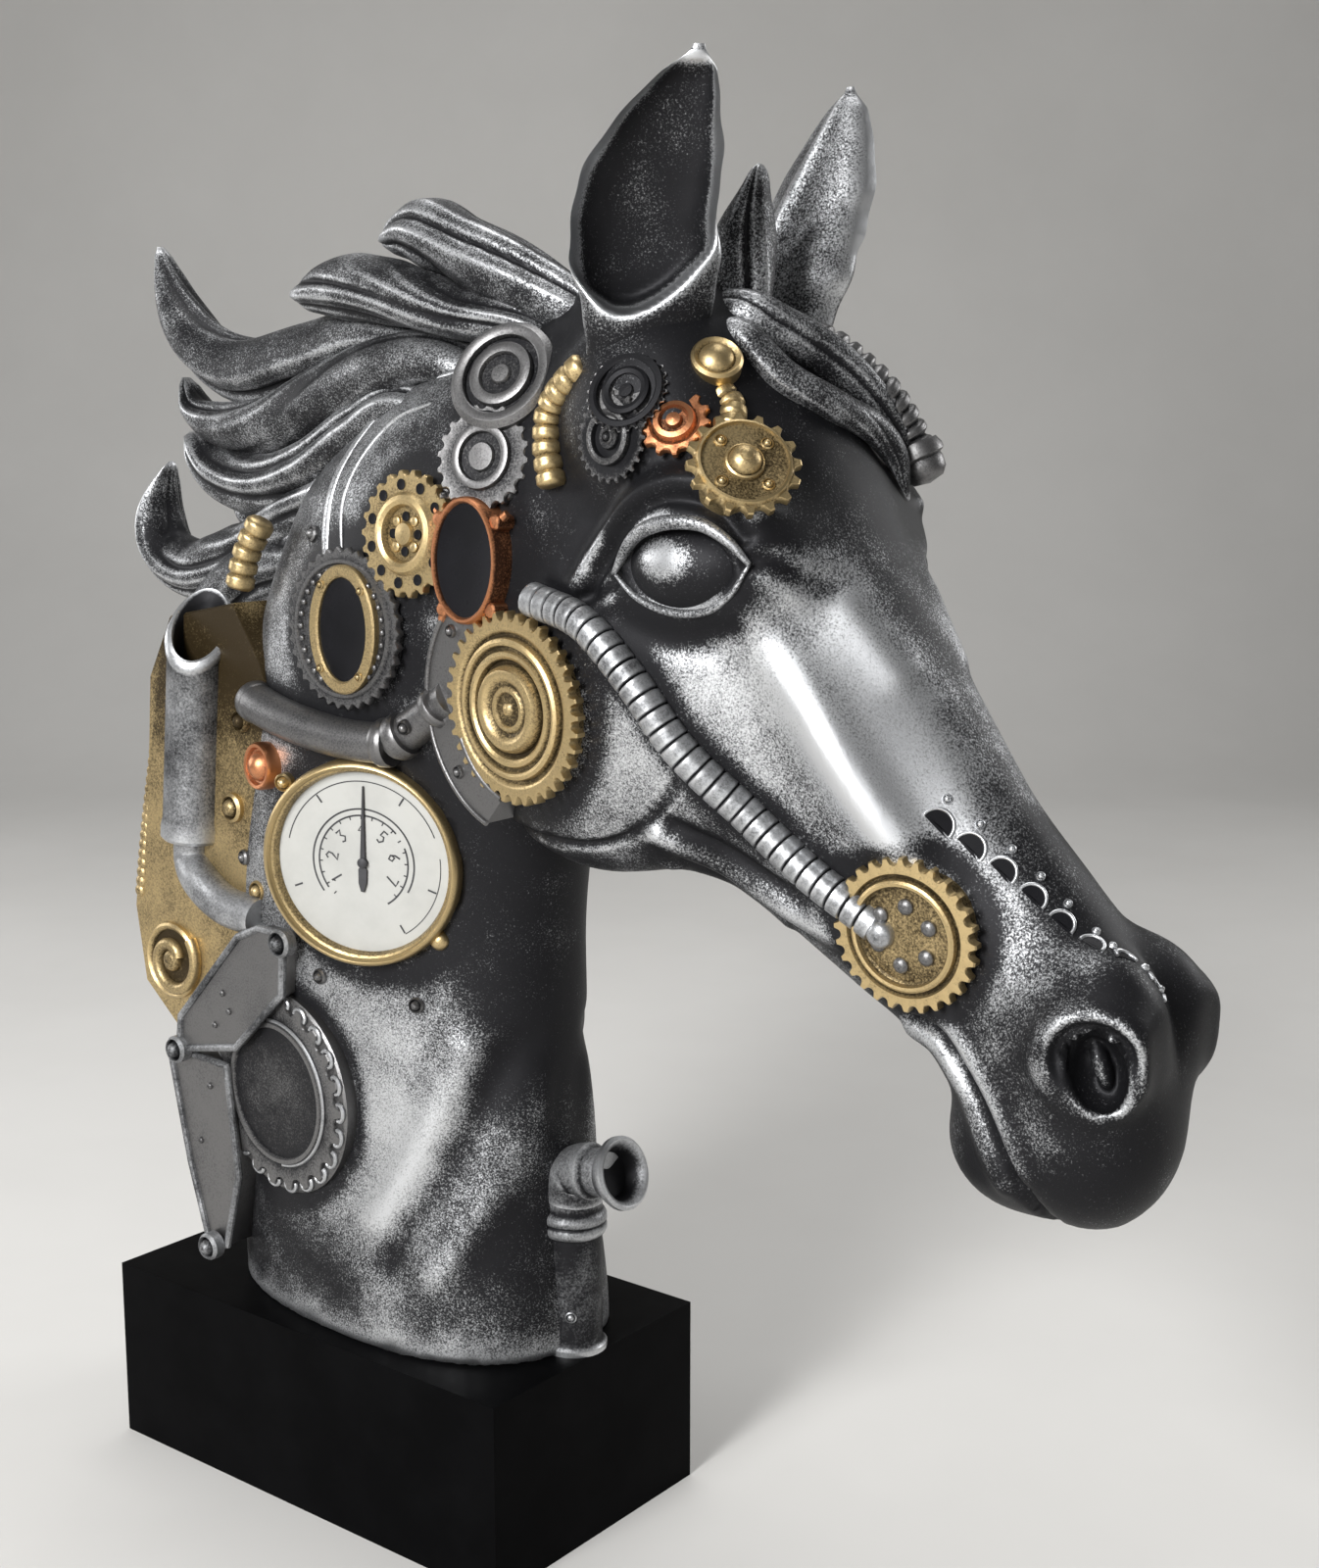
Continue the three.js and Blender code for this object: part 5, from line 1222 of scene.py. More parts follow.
CHEEK_HOSE = [(71, 210), (85, 206), (96, 196), (105, 184), (115.5, 173.5), (128, 163), (142, 154.5)]
BROW_COIL = [(82, 253), (74, 246), (73, 239), (75, 231)]
SHORT_COIL = [(107, 248), (110, 245), (112, 241)]
BROW_HOSE = [(101, 11, 259), (106, 11, 258.6), (110.5, 11.5, 257), (115, 13, 253.6), (118.6, 16, 249.4),
             (120.6, 19.5, 244.8), (122, 22, 240.6), (123.4, 23, 237)]
MANE_COIL = [(-17, -20, 222), (-21, -21, 215), (-23, -22, 207)]
NECK_PIPE = [(-14, 183), (2, 180), (17, 178), (29, 178)]
NECK_PIPE_END = [(29, 178), (38, 184), (47, 189)]


class HORSE_OT_hoses(bpy.types.Operator):
    """Ribbed hoses and coils"""

    bl_idname = "horse.hoses"
    bl_label = "Hoses and coils"
    bl_options = {"REGISTER", "UNDO"}

    def execute(self, context):
        radius, bands = sizes().cheek_hose / MM, sizes().hose_bands
        for side, name in ((SEEN, ""), (FAR, "_far")):
            tip = placed(button(2.6, -2, 2.6, 20), seat(143.5, 153.8, side, 2.6))
            body = hose(CHEEK_HOSE, radius, bands, side, 1.4, 0.2, 0.13)
            add("cheek_hose" + name, joined([body, tip]), smooth_silver(), SILVER_SLOT, base=0.3, gain=2.4,
                sharp=50)
        add("brow_coil", hose(BROW_COIL, 2.9, 9, SEEN, 1.2, 0.2, 0.22), gold(), GOLD_SLOT, base=0.55,
            sharp=60)
        add("short_coil", hose(SHORT_COIL, 2.6, 4, SEEN, 0.8, 0.2, 0.25), gold(), GOLD_SLOT, base=0.55,
            sharp=60)
        coil = smooth_path(MANE_COIL, 46)
        turns = 3.2 * ribs(np.linspace(0, 1, 46), 5, 0.2, 0.25)
        add("mane_coil", tube(coil, turns, sides=18), gold(), GOLD_SLOT, base=0.5, sharp=60)
        way = smooth_path(BROW_HOSE, 121)
        far = tube(way, 3.9 * ribs(np.linspace(0, 1, 121), 12, 0.26, 0.3), sides=20)
        ahead = unit(way[-1] - way[-4])
        bulb = turned([(4.6, -2), (5.2, -0.5), (5.2, 0.6), (4.2, 1.2), (4.4, 2.0), (4.2, 4), (3, 5.4),
                       (0.02, 6)], 28)
        bulb = placed(bulb, seat_on(way[-1], ahead, 0))
        add("brow_hose", joined([far, bulb]), steel(), SILVER_SLOT, base=0.55, sharp=50)
        return {"FINISHED"}


class HORSE_OT_pipes(bpy.types.Operator):
    """Neck pipe, exhaust and the pipe that stands on the block"""

    bl_idname = "horse.pipes"
    bl_label = "Pipes"
    bl_options = {"REGISTER", "UNDO"}

    def execute(self, context):
        add("neck_pipe", joined(self.neck_pipe()), steel(), SILVER_SLOT, base=0.5, gain=1.2, sharp=40)
        top, lean = self.exhaust_line()

        # Painted shade on the inside wall of the exhaust's bore.
        def painted_bore_shade(co, normal):
            return -1.0 * (np.linalg.norm(np.cross(co - top, lean), axis=1) < 6.0) * (co[:, 2] > 150)

        add("exhaust", joined(self.exhaust()), smooth_silver(), SILVER_SLOT, base=0.38, gain=1.4, sharp=40,
            shade=painted_bore_shade)
        add("foot_pipe", joined(self.foot_pipe()), smooth_silver(), SILVER_SLOT, base=0.34, gain=1.4,
            sharp=40)
        # A black plug deep in the exhaust's bore: painted shade where its inside lies in shadow.
        bore = smooth_path([top + lean * 19, top + lean * 26], 4)
        add("bore_shade_plugs", tube(bore, 5.3, sides=28), black(), SILVER_SLOT)
        return {"FINISHED"}

    @staticmethod
    def exhaust_line():
        return np.array([-33, -24.5, 206.0]), unit(np.array([-0.1, 0, -1.0]))

    def neck_pipe(self):
        parts = []
        for path, radius, lift in ((NECK_PIPE, 4.3, 2), (NECK_PIPE_END, 4.1, 1)):
            points, normals = skin_path(path, 24, SEEN, lift)
            parts.append(tube(points, radius, sides=24, up=normals))
        for places, radius in (([(26.3, 178), (29.2, 178.2)], 5.2), ([(30.2, 179), (33, 180.6)], 5.0),
                               ([(42, 186.2), (44, 187.6)], 4.8), ([(-14.5, 183), (-11.5, 182.4)], 4.7)):
            points, normals = skin_path(places, 6, SEEN, 1.7)
            parts.append(tube(points, radius * np.array([0.94, 1, 1, 1, 1, 0.94]), sides=24, up=normals))
        parts.append(placed(rivet(1.6, 1.4), seat(35, 183, SEEN, 5.0)))
        return parts

    def exhaust(self):
        top, lean = self.exhaust_line()
        turn = 2 * np.pi * np.arange(40) / 40
        across = unit(np.cross(lean, (0.0, 1.0, 0.0)))
        out = np.cross(across, lean)
        ring = across * np.cos(turn)[:, None] + out * np.sin(turn)[:, None]
        slant = (ring @ np.array([0.5, -0.86, 0.0]) + 1) * 7.4
        rings = []
        for radius, depth, tilt in ((4.6, 26, 0), (5.3, 3.2, 1), (5.5, 1.2, 1), (6.2, 0, 1), (7.1, 0.3, 1),
                                    (7.7, 1.4, 1), (7.6, 2.6, 1), (7.15, 3.4, 1), (7.15, 26, 0), (7.2, 52, 0),
                                    (7.6, 54, 0), (7.6, 56.5, 0), (6.9, 57.3, 0), (4.6, 57.5, 0)):
            down = depth + slant * tilt
            rings.append(top + ring * radius + lean * np.broadcast_to(down, (40,))[:, None])
        parts = [rows_to_mesh(np.array(rings))]
        end = top + lean * 57
        bend = smooth_path([end - lean * 2, end + lean * 5, (-34, -26.5, 140), (-26, -26.5, 135.5),
                            (-15, -26, 134)], 30)
        parts.append(tube(bend, 4.5, sides=22))
        fin = [top + lean * 6 + np.array([8, 1, 0]), top + lean * 34 + np.array([7.6, 1, 0])]
        parts.append(tube(smooth_path(fin, 12), 1.0, sides=10))
        return parts

    def foot_pipe(self):
        foot = np.array([54.4, 0, FOOT])
        up = foot + (0, 0, 38)
        pose = np.eye(4)
        pose[:3, 3] = foot
        stand = turned([(7.2, 0), (7.2, 1.2), (6.4, 2.0), (6.2, 3), (6.2, 26), (6.9, 26.6), (7.3, 27.4),
                        (7.3, 28.4), (6.9, 29), (7.3, 29.6), (7.3, 30.6), (6.9, 31.4), (6.3, 32), (6.3, 36),
                        (0.02, 37)], 40)
        bend = smooth_path([up - (0, 0, 4), up + (0.6, 0, 1), up + (4.5, 0, 3), up + (10, 0, 3.8)], 20)
        mouth = np.eye(4)
        c, s = math.cos(1.25), math.sin(1.25)
        mouth[:3, :3] = ((c, 0, s), (0, 1, 0), (-s, 0, c))
        mouth[:3, 3] = up + (9.8, 0, 3.4)
        funnel = turned([(4.6, -2), (5.0, -0.5), (5.6, 0.6), (7.4, 2.8), (7.9, 3.6), (7.9, 4.6), (7.2, 5.1),
                         (6.3, 4.6), (5.6, 3.0), (4.6, 0.8), (0.02, 0.4)], 40)
        plug = placed(rivet(1.3, 0.7), seat_on(foot + (0, 0, 9), unit(np.array([0.55, -0.83, 0])), 6.1))
        return [placed(stand, pose), tube(bend, [6.5] * 8 + [6.2] * 6 + [5.2] * 6, sides=32),
                placed(funnel, mouth), plug]


class HORSE_OT_ports(bpy.types.Operator):
    """Oval windows with their frames and toothed plate"""

    bl_idname = "horse.ports"
    bl_label = "Windows"
    bl_options = {"REGISTER", "UNDO"}

    def execute(self, context):
        disc = seat(*PORT_PLATE_PLACE)
        plate = cog_body(17, 34, 1.1, 1.8, PORT_RINGS, 6)
        beads = ring_of(placed(button(0.7, -1, 0.8, 8), shifted(np.eye(4), z=1.8)), 30, 12.4, disc)
        add("port_plate", joined([placed(plate, disc), *beads]), steel(), SILVER_SLOT, base=0.5)
        bronze = seat(19.4, 201)
        frame_body = oval_ring(13.4, 9.8, [(0, -4), (0, 3.2), (0.4, 3.6), (2.2, 3.6), (2.6, 3.2), (2.6, -1),
                                           (2.2, -4)])
        screws = [placed(rivet(0.95, 0.7), shifted(bronze, 8.5 * math.cos(a), 12.1 * math.sin(a), 3.5))
                  for a in (0.75, 2.3, 3.9, 5.4)]
        add("bronze_port", joined([placed(frame_body, bronze), *screws]), gold(), GOLD_SLOT, base=0.42)
        copper_seat = seat(*COPPER_PORT_PLACE, SEEN, 1.6)
        frame_body = oval_ring(12.4, 9.2, [(0, -4), (0, 2.8), (0.4, 3.4), (0.9, 3.4), (1.3, 2.8), (1.3, 0),
                                           (1.1, -4)])
        parts = [placed(frame_body, copper_seat)]
        for angle in (0.62, -0.78, -2.3, 2.5):
            at = shifted(copper_seat, 9.9 * math.cos(angle), 13.1 * math.sin(angle), 0)
            arm = turned([(1.5, -3), (1.5, 2.4), (1.1, 2.8), (0.02, 2.9)], 14)
            parts.append(placed(arm, at))
            rod = [moved([(9.2 * math.cos(angle), 12.4 * math.sin(angle), 1.6)], copper_seat)[0],
                   moved([(12.4 * math.cos(angle), 16 * math.sin(angle), 0.8)], copper_seat)[0]]
            parts.append(tube(np.array([rod[0], (np.array(rod[0]) + rod[1]) / 2, rod[1]]), 0.9, sides=10))
        # Painted shade on the frame's side wall that faces +X.
        add("copper_port", joined(parts), copper(), COPPER_SLOT, base=0.52,
            shade=lambda co, normal: -0.5 * smooth_step(0.5, 0.8, normal[:, 0]))
        glass = [placed(oval_disc(11.3, 7.7, -3, 2.7, 0.5), bronze),
                 placed(oval_disc(11.4, 8.2, -3, 2.6, 0.4), copper_seat)]
        add("port_glass", joined(glass), black(), SILVER_SLOT, sharp=50)
        self.crescent()
        return {"FINISHED"}

    @staticmethod
    def crescent():
        pose = seat(*CHEEK_PLACE)
        turn = np.linspace(2.2, 4.35, 40)
        outer = np.stack([25.5 * np.cos(turn), 25.5 * np.sin(turn)], 1)
        inner = np.stack([3 + 19.5 * np.cos(turn), 19.5 * np.sin(turn)], 1)
        shape = np.concatenate([outer, inner[::-1]])
        low = np.column_stack([shape, np.full(len(shape), -5.0)])
        high = np.column_stack([shape, np.full(len(shape), 2.0)])
        plate = rows_to_mesh(np.array([low, high]))
        rim = tube(moved(np.column_stack([outer, np.full(40, 2.0)]), pose), 0.6, sides=10)
        lip = tube(moved(np.column_stack([inner[24:], np.full(16, 2.2)]), pose), 0.7, sides=10)
        screws = [placed(rivet(1.4, 1.2), shifted(pose, 22 * math.cos(a), 22 * math.sin(a), 1.8))
                  for a in (2.45, 3.85)]
        add("crescent", joined([placed(plate, pose), rim, lip, *screws]), steel(), SILVER_SLOT, base=0.5,
            sharp=40)


# Strokes of the figures 1 to 7 in a unit box.
FIGURES = {
    1: [[(0.3, 0.75), (0.55, 1), (0.55, 0)]],
    2: [[(0.1, 0.8), (0.4, 1), (0.8, 0.8), (0.7, 0.5), (0.1, 0), (0.85, 0)]],
    3: [[(0.1, 0.95), (0.75, 0.95), (0.4, 0.6), (0.8, 0.3), (0.45, 0), (0.1, 0.1)]],
    4: [[(0.65, 0), (0.65, 1), (0.1, 0.35), (0.9, 0.35)]],
    5: [[(0.8, 1), (0.2, 1), (0.15, 0.55), (0.6, 0.6), (0.8, 0.3), (0.5, 0), (0.1, 0.08)]],
    6: [[(0.7, 0.95), (0.25, 0.6), (0.15, 0.2), (0.5, 0), (0.8, 0.25), (0.5, 0.5), (0.2, 0.35)]],
    7: [[(0.1, 1), (0.85, 1), (0.4, 0)]],
}
DIAL_FACE = 1.2


def stroke(points, half, height=0.06):
    """A flat inked line in the dial's plane."""
    points = np.array(points, float)
    ahead = unit(np.gradient(points, axis=0))
    side = np.stack([-ahead[:, 1], ahead[:, 0]], 1) * half
    rings = [np.column_stack([points + side, np.full(len(points), DIAL_FACE + height)]),
             np.column_stack([points - side, np.full(len(points), DIAL_FACE + height)])]
    count = len(points)
    faces = [(i, i + 1, count + i + 1, count + i) for i in range(count - 1)]
    return np.concatenate(rings), faces


def arc(radius, start, end, half, count=40):
    turn = np.radians(np.linspace(start, end, count))
    return stroke(np.stack([radius * np.cos(turn), radius * np.sin(turn)], 1), half)


class HORSE_OT_gauge(bpy.types.Operator):
    """Round gauge on the neck: case, marks and needle"""

    bl_idname = "horse.gauge"
    bl_label = "Gauge"
    bl_options = {"REGISTER", "UNDO"}

    def execute(self, context):
        pose = seat(*GAUGE_PLACE, SEEN, GAUGE_LIFT, GAUGE_TURN)
        case = turned([(22.3, -9), (22.4, 2.6), (22.2, 3.6), (21.8, 4.2), (21.3, 4.4), (20.9, 4.1),
                       (20.6, 3.2), (20.5, 0.1), (0.02, 0.1)], 96)
        tab = placed(button(2.2, -3, 2.6, 16), shifted(pose, 16.6, -16.2, 0.4))
        lug = placed(rivet(2.0, 1.6), shifted(pose, -17.6, 16.6, 0.6))
        add("gauge_case", joined([placed(case, pose), tab, lug]), gold(), GOLD_SLOT, base=0.62, gain=0.8)
        liner = turned([(20.5, 2.4), (20.6, 3.3), (20.1, 3.0), (19.6, 1.6), (19.6, 1.25), (20, 1.22)], 96,
                       closed=True)
        add("gauge_liner", placed(liner, pose), gold(), GOLD_SLOT, base=0.3, gain=0.9)
        marks = [arc(17.6, 20, 165, 0.12, 60), arc(17.6, -60, 5, 0.1), arc(11.6, -32, 215, 0.19, 80),
                 arc(10.2, 40, 215, 0.19, 60), arc(10.2, -60, 20, 0.19)]
        for angle in range(-45, 226, 15):
            a = math.radians(angle)
            marks.append(stroke([(r * math.cos(a), r * math.sin(a)) for r in (9.4, 10.2)], 0.14))
        for angle in (55, 125, 200, -20, -60):
            a = math.radians(angle)
            marks.append(stroke([(r * math.cos(a), r * math.sin(a)) for r in (15.4, 17.4)], 0.2))
        for figure, lines in FIGURES.items():
            a = math.radians(210 - 40 * (figure - 1))
            c, s = math.cos(a - math.pi / 2), math.sin(a - math.pi / 2)
            for line in lines:
                at = [((px - 0.5) * 1.9, (py - 0.5) * 2.7 + 7.3) for px, py in line]
                marks.append(stroke([(x * c - y * s, x * s + y * c) for x, y in at], 0.2))
        ink = matte("Dial ink", (0.02, 0.02, 0.022), (0.05, 0.05, 0.055), 0.6)
        add("gauge_marks", placed(joined(marks), pose), ink, DIAL_SLOT, sharp=0)
        needle = [(-0.35, -6.4), (-0.9, -4.6), (-1.0, -1.6), (-0.55, -0.9), (-0.6, 1.2), (-0.12, 16.6),
                  (0.12, 16.6), (0.6, 1.2), (0.55, -0.9), (1.0, -1.6), (0.9, -4.6), (0.35, -6.4)]
        body = prism(needle, DIAL_FACE + 0.1, DIAL_FACE + 0.6, 0.1)
        hub = turned([(1.1, DIAL_FACE), (1.1, DIAL_FACE + 0.9), (0.6, DIAL_FACE + 1.2),
                      (0.02, DIAL_FACE + 1.2)], 20)
        needle_pose = shifted(pose, roll=-0.06)
        add("gauge_needle", joined([placed(body, needle_pose), placed(hub, needle_pose)]), ink, DIAL_SLOT)
        return {"FINISHED"}


WHEEL_TEETH = 22
UPPER_PLATE_FACE, LOWER_PLATE_FACE, BACK_PLATE_FACE = 30, 28, 25
SWIRL_PLACE = (-47, 119)
UPPER_PLATE = [(-39, 108), (-18, 130), (-11, 133), (-3, 133), (-4, 119), (-20, 104), (-40, 100)]
LOWER_PLATE = [(-46, 99), (-26, 98), (-23, 72), (-28, 54), (-34, 53), (-40, 72)]
BACK_PLATE = [(-22, 204), (-44, 200), (-52, 186), (-54, 166), (-58, 148), (-61, 130), (-58, 112), (-46, 102),
              (-34, 110), (-22, 128), (-8, 140), (-6, 170), (-14, 192)]


def side_frame(y):
    """A frame parallel to the side view: drawn x and z, height towards the seen side."""
    made = np.eye(4)
    made[:3, :3] = ((1, 0, 0), (0, 0, -1), (0, 1, 0))
    made[:3, 3] = (0, -y, 0)
    return made


def outlined(points, y, radius):
    """A raised rim round a plate."""
    loop = np.array(points + points[:1], float)
    edges = [np.linspace(a, b, 8, endpoint=False) for a, b in zip(loop[:-1], loop[1:])]
    dense = np.concatenate(edges + [loop[-1:]])
    line = np.column_stack([dense[:, 0], np.full(len(dense), -y), dense[:, 1]])
    return tube(line, radius, sides=10)


def dense_outline(points, step=4.0):
    """An outline with more points on its long edges."""
    loop = np.array(points + points[:1], float)
    parts = []
    for a, b in zip(loop[:-1], loop[1:]):
        count = max(2, int(np.linalg.norm(b - a) / step))
        parts.append(np.linspace(a, b, count, endpoint=False))
    return np.concatenate(parts)


class HORSE_OT_plates(bpy.types.Operator):
    """Hinged plates, toothed wheel and gold backing on the neck"""

    bl_idname = "horse.plates"
    bl_label = "Neck plates"
    bl_options = {"REGISTER", "UNDO"}

    def execute(self, context):
        self.wheel()
        parts, rims = [], []
        for outline, face in ((UPPER_PLATE, UPPER_PLATE_FACE), (LOWER_PLATE, LOWER_PLATE_FACE)):
            parts.append(placed(prism(outline, -10, 0, 0.3), side_frame(face)))
            rims.append(outlined(outline, face, 0.9))
        for x, z in ((-22, 112), (-27, 108), (-24, 116), (-32, 92), (-36, 78)):
            face = UPPER_PLATE_FACE if z > 100 else LOWER_PLATE_FACE
            parts.append(placed(button(0.8, -1, 0.7, 10), shifted(side_frame(face), x, z)))
        for x, z in ((-3, 131), (-40, 100), (-31, 54)):
            rims.append(placed(rivet(3.2, 2.6, 24), shifted(side_frame(UPPER_PLATE_FACE), x, z)))
        add("plate_rims", joined(rims), smooth_silver(), SILVER_SLOT, base=0.26, gain=1.0)
        add("hinged_plates", joined(parts), steel(), SILVER_SLOT, base=0.33, gain=1.2, sharp=40)
        self.backing()
        return {"FINISHED"}

    @staticmethod
    def wheel():
        radius = sizes().neck_wheel / MM
        pose = seat(*WHEEL_PLACE)
        body = cog_body(radius, WHEEL_TEETH, 2.4, 2.4, WHEEL_RINGS)
        rim = turned([(radius + 0.8, -5), (radius + 0.8, 0.9), (radius + 0.2, 1.3), (radius - 3, 1.2),
                      (0.02, 1.2)], 72)
        add("neck_wheel", joined([placed(body, pose), placed(rim, pose)]), steel(), SILVER_SLOT, base=0.4,
            gain=1.5)
        gullets = []
        for i in range(WHEEL_TEETH):
            at = shifted(pose, z=1.25, roll=2 * math.pi * i / WHEEL_TEETH)
            turn = np.linspace(-1.9, 1.9, 14)
            ring = np.column_stack([radius - 1.2 + 1.5 * np.cos(turn), 1.9 * np.sin(turn), np.full(14, 0.4)])
            gullets.append(tube(moved(ring, at), 0.5, sides=8))
        arc_turn = np.linspace(-1.5, 1.7, 40)
        inner = radius * 0.74
        ring = np.column_stack([inner * np.cos(arc_turn), inner * np.sin(arc_turn), np.full(40, 2.3)])
        gullets.append(tube(moved(ring, pose), 0.45, sides=8))
        add("wheel_rims", joined(gullets), smooth_silver(), SILVER_SLOT, base=0.45, gain=1.0)
        bolts = [placed(rivet(1.8, 1.5), seat(*place))
                 for place in ((3.3, 219.8), (4.5, 123.9), (30, 121), (-20.6, 147))]
        add("small_bolts", joined(bolts), steel(), SILVER_SLOT, base=0.5)

    @staticmethod
    def backing():
        parts = [placed(prism(dense_outline(BACK_PLATE), -13, 0, 0.5), side_frame(BACK_PLATE_FACE - 0.2))]
        swirl = [(math.cos(a) * (2.2 + 0.95 * a), math.sin(a) * (2.2 + 0.95 * a))
                 for a in np.linspace(0.4, 7.0, 40)]
        line = np.array([(SWIRL_PLACE[0] + u, -25.4, SWIRL_PLACE[1] + v) for u, v in swirl])
        parts.append(tube(line, 1.5, sides=12))
        parts.append(placed(button(2.6, -2, 2.2), shifted(side_frame(BACK_PLATE_FACE), *SWIRL_PLACE)))
        disc = turned([(9, -4), (9, 0.9), (8.4, 1.4), (7.6, 1.0), (7.2, 0.3), (0.02, 0.3)], 48)
        parts.append(placed(disc, shifted(side_frame(24.9), *SWIRL_PLACE)))
        beads = [(-49.5, -22, 190), (-52.5, -23, 170), (-56.5, -23.5, 150), (-59, -24, 134)]
        for bead in smooth_path(beads, 26):
            parts.append(placed(button(1.7, -1.2, 1.6, 12), seat_on(bead, np.array([0.0, -1.0, 0.0]), 0)))
        for (x, z), size in (((-24, 158), 3.4), ((-20, 178), 2.6), ((-44, 152), 3.0), ((-16, 140), 2.4)):
            parts.append(placed(rivet(size, 1.8, 20), shifted(side_frame(BACK_PLATE_FACE), x, z)))
        add("gold_backing", joined(parts), gold(), GOLD_SLOT, base=0.32, gain=1.4, sharp=45,
            shade=lambda co, normal: -0.45 * smooth_step(150, 172, co[:, 2] + 0.5 * co[:, 0]))
        knob = turned([(5.2, -4), (5.3, 1.8), (4.9, 2.6), (4.2, 2.5), (3.8, 1.6), (3.4, 1.5), (2.7, 2.8),
                       (1.5, 3.7), (0.02, 4)], 36)
        add("copper_knob", placed(knob, seat(-11, 169, SEEN, 0.6)), copper(), COPPER_SLOT, base=0.65)


SCALLOP_WAY = math.radians(48)
SCALLOPS = [(151.6, -14.6, 173.3), (157.2, -12.9, 169.6), (162.8, -11.4, 165.8), (168.3, -10.4, 161.8),
            (173.7, -9.7, 158.0), (179.0, -8.8, 154.3), (183.8, -7.2, 151.2), (187.6, -4.4, 147.8),
            (189.8, -0.6, 144.4)]


class HORSE_OT_trim(bpy.types.Operator):
    """Scalloped strip on the nose, neck panel and engraved marks"""

    bl_idname = "horse.trim"
    bl_label = "Nose strip and neck panel"
    bl_options = {"REGISTER", "UNDO"}

    def execute(self, context):
        parts, floors = [], []
        for i, place in enumerate(SCALLOPS):
            size = 3.0 - 0.16 * i
            pose = seat_at(place)
            turn = np.linspace(SCALLOP_WAY - 1.65, SCALLOP_WAY + 1.65, 22)
            ring = np.column_stack([size * np.cos(turn), size * np.sin(turn), np.full(22, 0.15)])
            parts.append(tube(moved(ring, pose), 0.34, sides=8))
            out = (math.cos(SCALLOP_WAY), math.sin(SCALLOP_WAY))
            at = shifted(pose, size * (out[0] - 0.75 * out[1] + 0.5), size * (out[1] + 0.75 * out[0] + 0.3))
            parts.append(placed(rivet(0.95 - 0.03 * i, 0.6), at))
            back = [(size * x, size * z) for x, z in ((0.5, -0.75), (0.2, -0.1), (-0.6, 0.65))]
            moon = np.concatenate([ring[:, :2] * 0.94, back])
            floors.append(placed(prism(moon, -0.8, 0.12, 0.02), pose))
        add("nose_scallops", joined(parts), silver(), SILVER_SLOT, base=0.62, sharp=60)
        add("scallop_floors", joined(floors), black(), SILVER_SLOT)
        panel = [
            ([(10, 212), (7.5, 222), (8, 235), (13, 245), (22, 251.5), (37, 253.5)], 1.3, 0.45),
            ([(15, 216), (13.5, 226), (16, 236), (23, 243.5), (34, 247)], 0.5, 0.5),
            ([(91, 234), (87.5, 239), (89.5, 245), (97, 246)], 0.3, 0.3),
            ([(84, 237), (84.5, 245), (91, 249.5), (99, 249)], 0.25, 0.25),
        ]
        lines = [cord_on_skin(path, half, height) for path, half, height in panel]
        lines.append(placed(rivet(1.5, 0.9), seat(91, 240)))
        add("neck_panel", joined(lines), silver(), SILVER_SLOT, base=0.45, sharp=60)
        return {"FINISHED"}


class HORSE_OT_finish(bpy.types.Operator):
    """Finishes of the dial and the block"""

    bl_idname = "horse.finish"
    bl_label = "Dial and block finish"
    bl_options = {"REGISTER", "UNDO"}

    def execute(self, context):
        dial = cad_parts["gauge_dial"]
        dial.data.materials.clear()
        color = colors().dial
        dial.data.materials.append(matte("Dial white", color, [0.88 * c for c in color], 0.5, 90))
        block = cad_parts["plinth"]
        block.data.materials.clear()
        color = colors().block
        block.data.materials.append(matte("Block black", color, [1.8 * c for c in color], 0.42, 40, 0.05,
                                          0.02))
        bevel = block.modifiers.new("Eased edges", "BEVEL")
        bevel.width = 0.0007
        bevel.segments = 2
        return {"FINISHED"}


AZIMUTH, ELEVATION = 38.17, 9.8
CAMERA = (0.332456, -0.323448, 0.241915)


